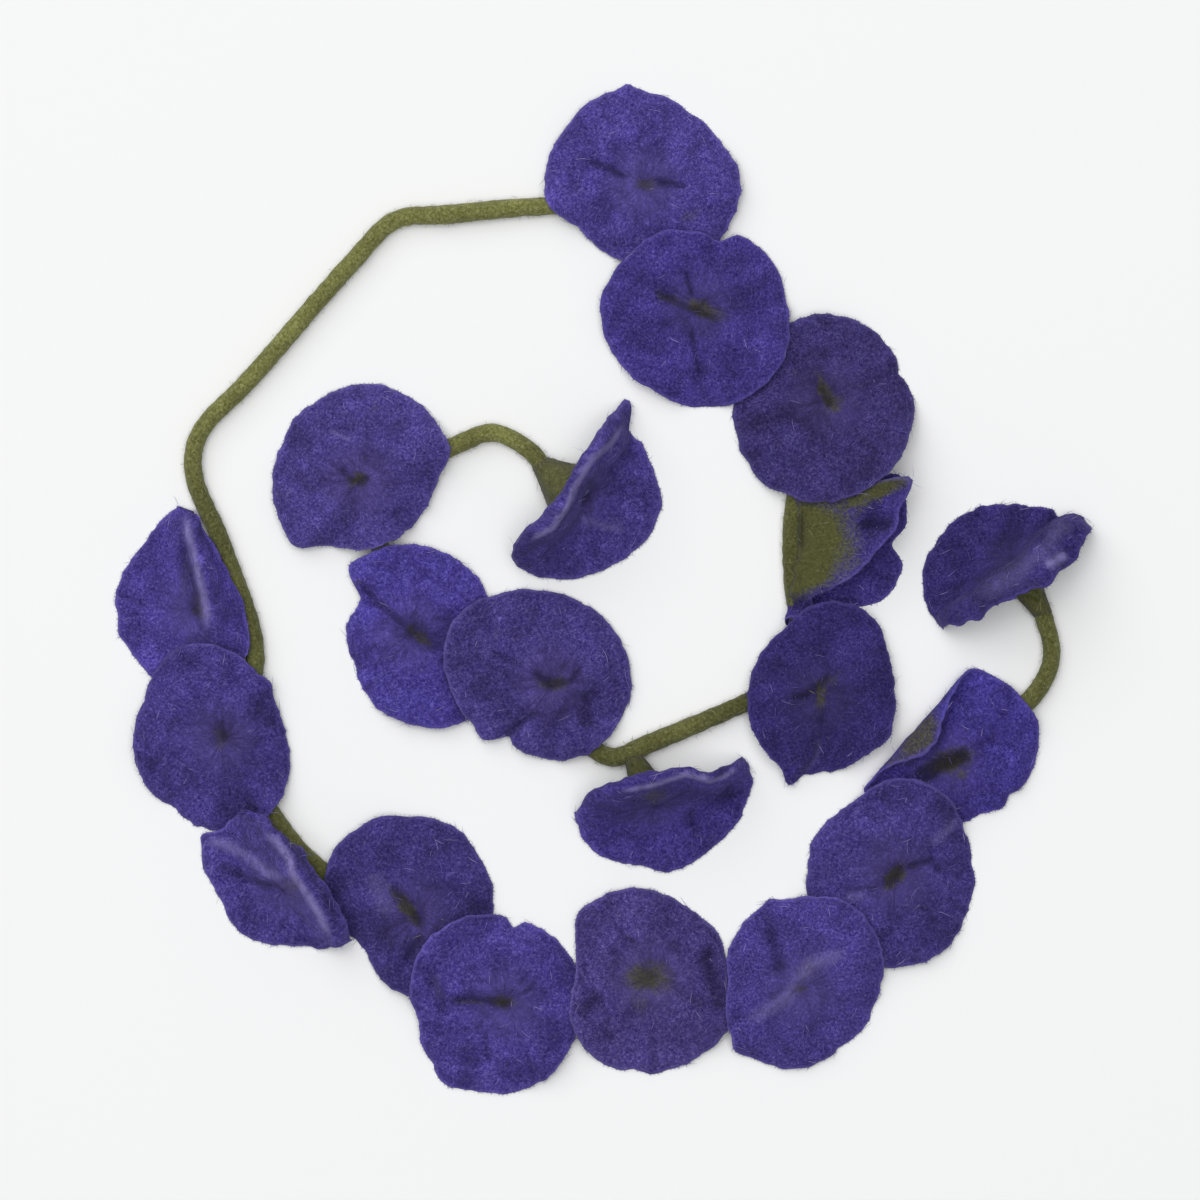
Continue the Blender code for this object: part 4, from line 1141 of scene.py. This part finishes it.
def make_flower(flower, line, cloth):
    skin = Skin(flower)
    root = face_and_back(skin, cloth)
    add_calyx(skin, line, root)
    return link(name_of(flower) + "_felt", skin.points, skin.faces, skin.extra), skin


def lying_points(skin):
    """The points that a later petal can be laid over: all but those of a half that stands."""
    flower = skin.flower
    if not STANDING < flower.left < FOLDED_OVER:
        return skin.points
    behind = -(flower.fold + CLEAR_OF_FOLD)
    return [point for point, flat in zip(skin.points, skin.extra["flat"])
            if flat[0] >= behind or point.z <= PRESSED_DOWN]


def cut_size(flower):
    """The flat felt's width, length and area in metres, from its rim."""
    corners = [heading(local) * rim_radius(flower, local) for local in range(0, 360, 3)]
    wide = max(p.y for p in corners) - min(p.y for p in corners)
    long = max(p.x for p in corners) - min(p.x for p in corners)
    area = 0.5 * sum(a.x * b.y - b.x * a.y for a, b in zip(corners, corners[1:] + corners[:1]))
    return (wide * MM, long * MM), area * MM * MM


# Fibres

def link_fibres(name, points, faces, extra):
    for point in points:
        point.z = max(point.z, FIBRE_CLEAR)
    return link(name, points, faces, extra)


def fibre(points, faces, tones, path, radius, tone):
    """One wool fibre: a closed three-sided sliver along a path, drawn out to a tip at both ends."""
    start = len(points)
    points.append(path[0])
    for k in range(1, len(path) - 1):
        way = (path[k + 1] - path[k - 1]).normalized()
        side = way.orthogonal().normalized()
        other = way.cross(side)
        for s in range(3):
            turn = 2 * math.pi * s / 3
            points.append(path[k] + (side * math.cos(turn) + other * math.sin(turn)) * radius)
    points.append(path[-1])
    rings = len(path) - 2
    tip = start + 1 + 3 * rings
    for s in range(3):
        after = (s + 1) % 3
        faces.append((start, start + 1 + after, start + 1 + s))
        for k in range(rings - 1):
            low = start + 1 + 3 * k
            faces.append((low + s, low + after, low + 3 + after, low + 3 + s))
        faces.append((tip - 3 + s, tip - 3 + after, tip))
    tones.extend([tone] * (len(points) - start))


def curl(rng, root, normal, way, length, lift):
    """A path that leaves the felt at root, arcs over it and comes back to it."""
    side = normal.cross(way)
    bend = rng.uniform(-0.55, 0.55)
    path = []
    for t in (0.0, 0.33, 0.67, 1.0):
        up = lift * math.sin(math.pi * min(t * 1.1, 1.0))
        path.append(root + way * (length * t) + side * (length * bend * t * t) + normal * up)
    return path


def wander(rng, root, outward, length):
    """A path that leaves a rim and wanders off outward."""
    across = outward.orthogonal().normalized()
    spin = rng.uniform(0, 2 * math.pi)
    side = across * math.cos(spin) + outward.cross(across) * math.sin(spin)
    bend = rng.uniform(-0.7, 0.7)
    return [root + outward * (length * t) + side * (length * bend * t * t) for t in (-0.2, 0.3, 0.7, 1.0)]


def surface_picks(rng, obj, count):
    """Random places, evenly spread over a mesh: the face, the place, its normal, and the way of an edge."""
    data = obj.data
    areas = np.array([p.area for p in data.polygons])
    chosen = rng.choices(range(len(areas)), weights=areas.tolist(), k=count)
    for index in chosen:
        polygon = data.polygons[index]
        corners = [data.vertices[i].co for i in polygon.vertices[:3]]
        u, v = sorted((rng.random(), rng.random()))
        spot = corners[0] * u + corners[1] * (v - u) + corners[2] * (1 - v)
        yield index, spot / MM, polygon.normal.copy(), (corners[2] - corners[1]).normalized()


def tangent(rng, normal):
    across = normal.orthogonal().normalized()
    spin = rng.uniform(0, 2 * math.pi)
    return across * math.cos(spin) + normal.cross(across) * math.sin(spin)


def flower_fibres(flower, obj, skin):
    rng = random.Random(FIBRE_SEED + flower.number)
    points, faces, tones, greens = [], [], [], []
    near_rim = range(1 + (FACE_RINGS - COMBED_INSIDE) * SPOKES, 1 + (FACE_RINGS + COMBED_PAST) * SPOKES)
    for index, root, normal, edge in surface_picks(rng, obj, FLOWER_FIBRES):
        tone = rng.random() ** 3
        length = rng.uniform(*FIBRE_LENGTH) + 2.5 * tone
        way = edge * rng.choice((-1, 1)) if index in near_rim else tangent(rng, normal)
        path = curl(rng, root - normal * ROOT_DEPTH, normal, way, length, rng.uniform(*FIBRE_LIFT))
        fibre(points, faces, tones, path, rng.uniform(*FIBRE_RADIUS) + 0.03 * tone, tone)
        corner = obj.data.polygons[index].vertices[0]
        greens.extend([skin.extra["green"][corner]] * (len(points) - len(greens)))
    rim = (FACE_RINGS + BACK_RINGS + 1) * SPOKES
    for _ in range(RIM_FIBRES):
        k = rng.randrange(SPOKES)
        root = skin.points[rim + k]
        outward = (root - skin.points[(FACE_RINGS - 2) * SPOKES + k]).normalized()
        way = (outward + tangent(rng, outward) * rng.uniform(0.2, 1.6)).normalized()
        path = wander(rng, root, way, rng.uniform(*RIM_FIBRE_LENGTH))
        fibre(points, faces, tones, path, rng.uniform(*FIBRE_RADIUS), 0.2 + rng.random() * 0.5)
    greens.extend([0.0] * (len(points) - len(greens)))
    return link_fibres(name_of(flower) + "_fibres", points, faces, {"tone": tones, "green": greens})


def vine_fibres(obj):
    rng = random.Random(FIBRE_SEED)
    points, faces, tones = [], [], []
    for _, root, normal, _ in surface_picks(rng, obj, VINE_FIBRES):
        tone = rng.random()
        length = rng.uniform(*VINE_FIBRE_LENGTH)
        if rng.random() < CURLED_SHARE:
            way = tangent(rng, normal)
            path = curl(rng, root - normal * ROOT_DEPTH, normal, way, length, rng.uniform(*VINE_FIBRE_LIFT))
        else:
            way = (normal + tangent(rng, normal) * rng.uniform(0.4, 1.6)).normalized()
            path = wander(rng, root, way, length * 0.6)
        fibre(points, faces, tones, path, rng.uniform(*VINE_FIBRE_RADIUS), tone)
    return link_fibres("vine_fibres", points, faces, {"tone": tones})


# Materials

class Wool:
    """A material with one shader, and short ways to add the nodes that feed it."""

    def __init__(self, name, roughness, sheen, sheen_tint):
        self.mat = bpy.data.materials.new(name)
        self.mat.use_nodes = True
        self.tree = self.mat.node_tree
        self.shader = self.tree.nodes["Principled BSDF"].inputs
        self.feed(self.shader["Roughness"], roughness)
        self.feed(self.shader["Specular IOR Level"], WOOL_SPECULAR)
        self.feed(self.shader["Sheen Weight"], sheen)
        self.feed(self.shader["Sheen Roughness"], SHEEN_ROUGHNESS)
        self.feed(self.shader["Sheen Tint"], sheen_tint)

    def feed(self, socket, value):
        """Gives a socket another node's output, or a plain number, vector or colour."""
        if isinstance(value, bpy.types.NodeSocket):
            self.tree.links.new(value, socket)
        else:
            socket.default_value = rgba(value) if socket.type == "RGBA" else value

    def node(self, kind, out, feeds, **settings):
        """Adds a node and gives one of its outputs."""
        node = self.tree.nodes.new("ShaderNode" + kind)
        for key, value in settings.items():
            setattr(node, key, value)
        for key, value in feeds.items():
            self.feed(node.inputs[key], value)
        return node.outputs[out]

    def attribute(self, name, out="Fac"):
        return self.node("Attribute", out, {}, attribute_name=name)

    def noise(self, vector, scale, detail=2.0, rough=0.5, distortion=0.0, kind="FBM"):
        feeds = {"Vector": vector, "Scale": scale, "Detail": detail, "Roughness": rough,
                 "Distortion": distortion}
        return self.node("TexNoise", "Fac", feeds, noise_type=kind)

    def stretch(self, vector, scale):
        return self.node("Mapping", "Vector", {"Vector": vector, "Scale": scale})

    def ramp(self, value, *stops):
        """A colour ramp; stops are (position, colour), and a colour that is a plain number is a grey."""
        node = self.tree.nodes.new("ShaderNodeValToRGB")
        elements = node.color_ramp.elements
        while len(elements) < len(stops):
            elements.new(0.5)
        for element, (position, colour) in zip(elements, stops):
            element.position = position
            element.color = rgba(colour)
        self.feed(node.inputs["Fac"], value)
        return node.outputs["Color"]

    def mix(self, amount, a, b):
        """Mixes colours."""
        return self.node("Mix", 2, {0: amount, 6: a, 7: b}, data_type="RGBA")

    def tone(self, colour, by):
        """Multiplies a colour by another."""
        return self.node("Mix", 2, {0: 1.0, 6: colour, 7: by}, data_type="RGBA", blend_type="MULTIPLY")

    def blend(self, amount, a, b):
        """Mixes two values."""
        return self.node("Mix", 0, {0: amount, 2: a, 3: b}, data_type="FLOAT")

    def plus(self, a, b):
        return self.node("Math", 0, {0: a, 1: b}, operation="ADD")

    def times(self, a, b):
        return self.node("Math", 0, {0: a, 1: b}, operation="MULTIPLY")

    def felted(self, colour, mottle, tangle):
        """The material, with this colour and the low relief of its grain and its tangled fibres."""
        rough = self.plus(self.times(mottle, 0.7), self.times(tangle, 0.5))
        relief = {"Strength": BUMP_STRENGTH, "Distance": BUMP_DISTANCE, "Height": rough}
        self.feed(self.shader["Normal"], self.node("Bump", "Normal", relief))
        self.feed(self.shader["Base Color"], colour)
        return self.mat


def shade(colour, light, blue=0.0):
    """A colour made lighter or darker, with more or less blue in it."""
    red, green, violet = colour
    return (red * light, green * light, violet * light * (1 + blue))


def flower_wool(flower):
    """Violet felt: mottled, with pale tangled fibres, green or brown bits of wool, a painted highlight on
    the rim and on crests, and painted shade in creases and throats.
    """
    light, blue = TINTS[flower.number]
    dark, middle, pale = (shade(colour, light, blue) for colour in (VIOLET_DARK, VIOLET, VIOLET_LIGHT))
    wool = Wool(name_of(flower) + "_wool", 0.95, 0.13, VIOLET_SHEEN)
    flat = wool.attribute("flat", "Vector")
    near = wool.attribute("near")
    streaks = wool.noise(wool.attribute("spokes", "Vector"), 1.0, 3.0, 0.6, 1.5)
    mottle = wool.blend(near, wool.noise(flat, 0.95, 4.0, 0.65, 0.9), streaks)
    tangle = wool.noise(flat, 0.55, 3.0, 0.6, 1.4, "RIDGED_MULTIFRACTAL")
    colour = wool.ramp(mottle, (0.34, dark), (0.5, middle), (0.68, pale))
    hairs = wool.ramp(tangle, (0.45, 0.0), (0.85, 0.42))
    colour = wool.mix(hairs, colour, shade(VIOLET_LIGHT, 1.25 * light, blue))
    clouds = wool.noise(flat, 0.07, 4.0, 0.6, 0.5)
    colour = wool.tone(colour, wool.ramp(clouds, (0.3, 0.62), (0.5, 1.0), (0.72, 1.42)))
    colour = wool.mix(wool.ramp(near, (0.1, 0.0), (0.5, 0.32)), colour, shade(PURPLE, light))
    # painted highlight along crests and ridges
    combed = wool.noise(wool.stretch(flat, (1.5, 0.22, 1.0)), 1.0, 3.0, 0.6, 0.6)
    crest = wool.times(wool.attribute("pale"), wool.times(wool.plus(combed, mottle), 0.9))
    colour = wool.mix(wool.ramp(crest, (0.05, 0.0), (1.0, 0.85)), colour, CREST_HIGHLIGHT_LAVENDER)
    ragged = wool.times(wool.plus(wool.noise(flat, 0.42, 4.0, 0.75, 0.8), mottle), 0.75)
    ragged = wool.plus(ragged, -0.75)
    patch = wool.ramp(wool.plus(wool.attribute("patch"), ragged), (0.15, 0.0), (0.95, 0.92))
    colour = wool.mix(patch, colour, wool.ramp(mottle, (0.35, OLIVE_DARK), (0.7, OLIVE)))
    green = wool.ramp(wool.plus(wool.attribute("green"), ragged), (0.25, 0.0), (0.8, 1.0))
    # the calyx's lightness: its wool's own tone, with painted shade on some
    leafy = LEAF_TONE_AND_SHADE.get(flower.number, LEAF_LIGHTNESS)
    leaf = [shade(tone, leafy) for tone in (LEAF_DARK, LEAF, LEAF_LIGHT)]
    colour = wool.mix(green, colour, wool.ramp(mottle, *zip((0.3, 0.55, 0.8), leaf)))
    # painted highlight on the rim
    edge = wool.times(wool.attribute("edge"), 0.42)
    colour = wool.mix(edge, colour, shade(VIOLET_LIGHT, 1.2 * light, blue))
    # painted shade in creases and throats, deeper ones darker
    painted_shade_amount = wool.times(wool.attribute("crease"), 0.5)
    colour = wool.tone(colour, wool.ramp(painted_shade_amount, (0.0, 1.0), (0.5, 0.48), (1.0, 0.25)))
    return wool.felted(colour, mottle, tangle)


def vine_wool():
    """Olive green felt, with fibres that run round and along the cord."""
    wool = Wool("vine_wool", 0.95, 0.22, LEAF_SHEEN)
    flat = wool.attribute("flat", "Vector")
    mottle = wool.noise(flat, 0.8, 4.0, 0.62, 0.6)
    tangle = wool.noise(wool.stretch(flat, (0.55, 1.0, 1.0)), 0.7, 3.0, 0.6, 1.4, "RIDGED_MULTIFRACTAL")
    colour = wool.ramp(mottle, (0.3, LEAF_DARK), (0.52, LEAF), (0.78, LEAF_LIGHT))
    colour = wool.mix(wool.ramp(tangle, (0.45, 0.0), (0.85, 0.4)), colour, LEAF_LIGHT)
    colour = wool.tone(colour, wool.ramp(wool.noise(flat, 0.06, 2.0, 0.5), (0.3, 0.82), (0.7, 1.15)))
    # painted light and shade along the vine, with its wool's own tone
    tone_and_shade = wool.times(wool.attribute("shade"), 0.5)
    colour = wool.tone(colour, wool.ramp(tone_and_shade, (0.0, 0.0), (1.0, 2.0)))
    return wool.felted(colour, mottle, tangle)


def fibre_wool(name, stops, sheen_tint):
    """Loose fibres, each with its own tone; those on a flower's calyx are green."""
    wool = Wool(name, 0.9, 0.15, sheen_tint)
    tone = wool.attribute("tone")
    green = wool.ramp(wool.attribute("green"), (0.3, 0.0), (0.6, 1.0))
    colour = wool.mix(green, wool.ramp(tone, *stops), wool.ramp(tone, *LEAF_HAIR))
    wool.feed(wool.shader["Base Color"], colour)
    return wool.mat


# The pieces in the frame

def put_in_place(pieces, node):
    """All of them ride on the garland's one body, and the node's own solid is hidden."""
    for piece in pieces:
        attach(piece, "root")
    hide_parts(node)


def dress_vine(line):
    vine = make_vine(line)
    vine.data.materials.append(vine_wool())
    hairs = vine_fibres(vine)
    hairs.data.materials.append(fibre_wool("vine_hair", LEAF_HAIR, LEAF_SHEEN))
    put_in_place((vine, hairs), "vine")
    path = [tuple(point * MM) for point, _ in line]
    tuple(path[0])
    return vine


def dress_flower(flower, line, cloth, hair):
    felt, skin = make_flower(flower, line, cloth)
    felt.data.materials.append(flower_wool(flower))
    hairs = flower_fibres(flower, felt, skin)
    hairs.data.materials.append(hair)
    put_in_place((felt, hairs), name_of(flower))
    flat, area = cut_size(flower)
    return skin


def main():
    noise.seed_set(NOISE_SEED)
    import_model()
    cad_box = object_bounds()
    make_camera()
    line = vine_line()
    vine = dress_vine(line)
    ground = blank_map()
    press(ground, [v.co / MM for v in vine.data.vertices])
    stops = [(0.0, VIOLET), (0.6, shade(VIOLET_LIGHT, 0.9)), (0.88, shade(VIOLET_LIGHT, 1.5)),
             (1.0, VIOLET_TIP)]
    hair = fibre_wool("flower_hair", stops, HAIR_SHEEN)
    for number in LAID:
        flower = FLOWERS[number - 1]
        cloth = tent(ground, TENT_SLOPE if flower.crown else TENT_STEEP)
        skin = dress_flower(flower, line, cloth, hair)
        press(ground, lying_points(skin))
    make_floor()
    make_light()
    return cad_box


cad_box = main()
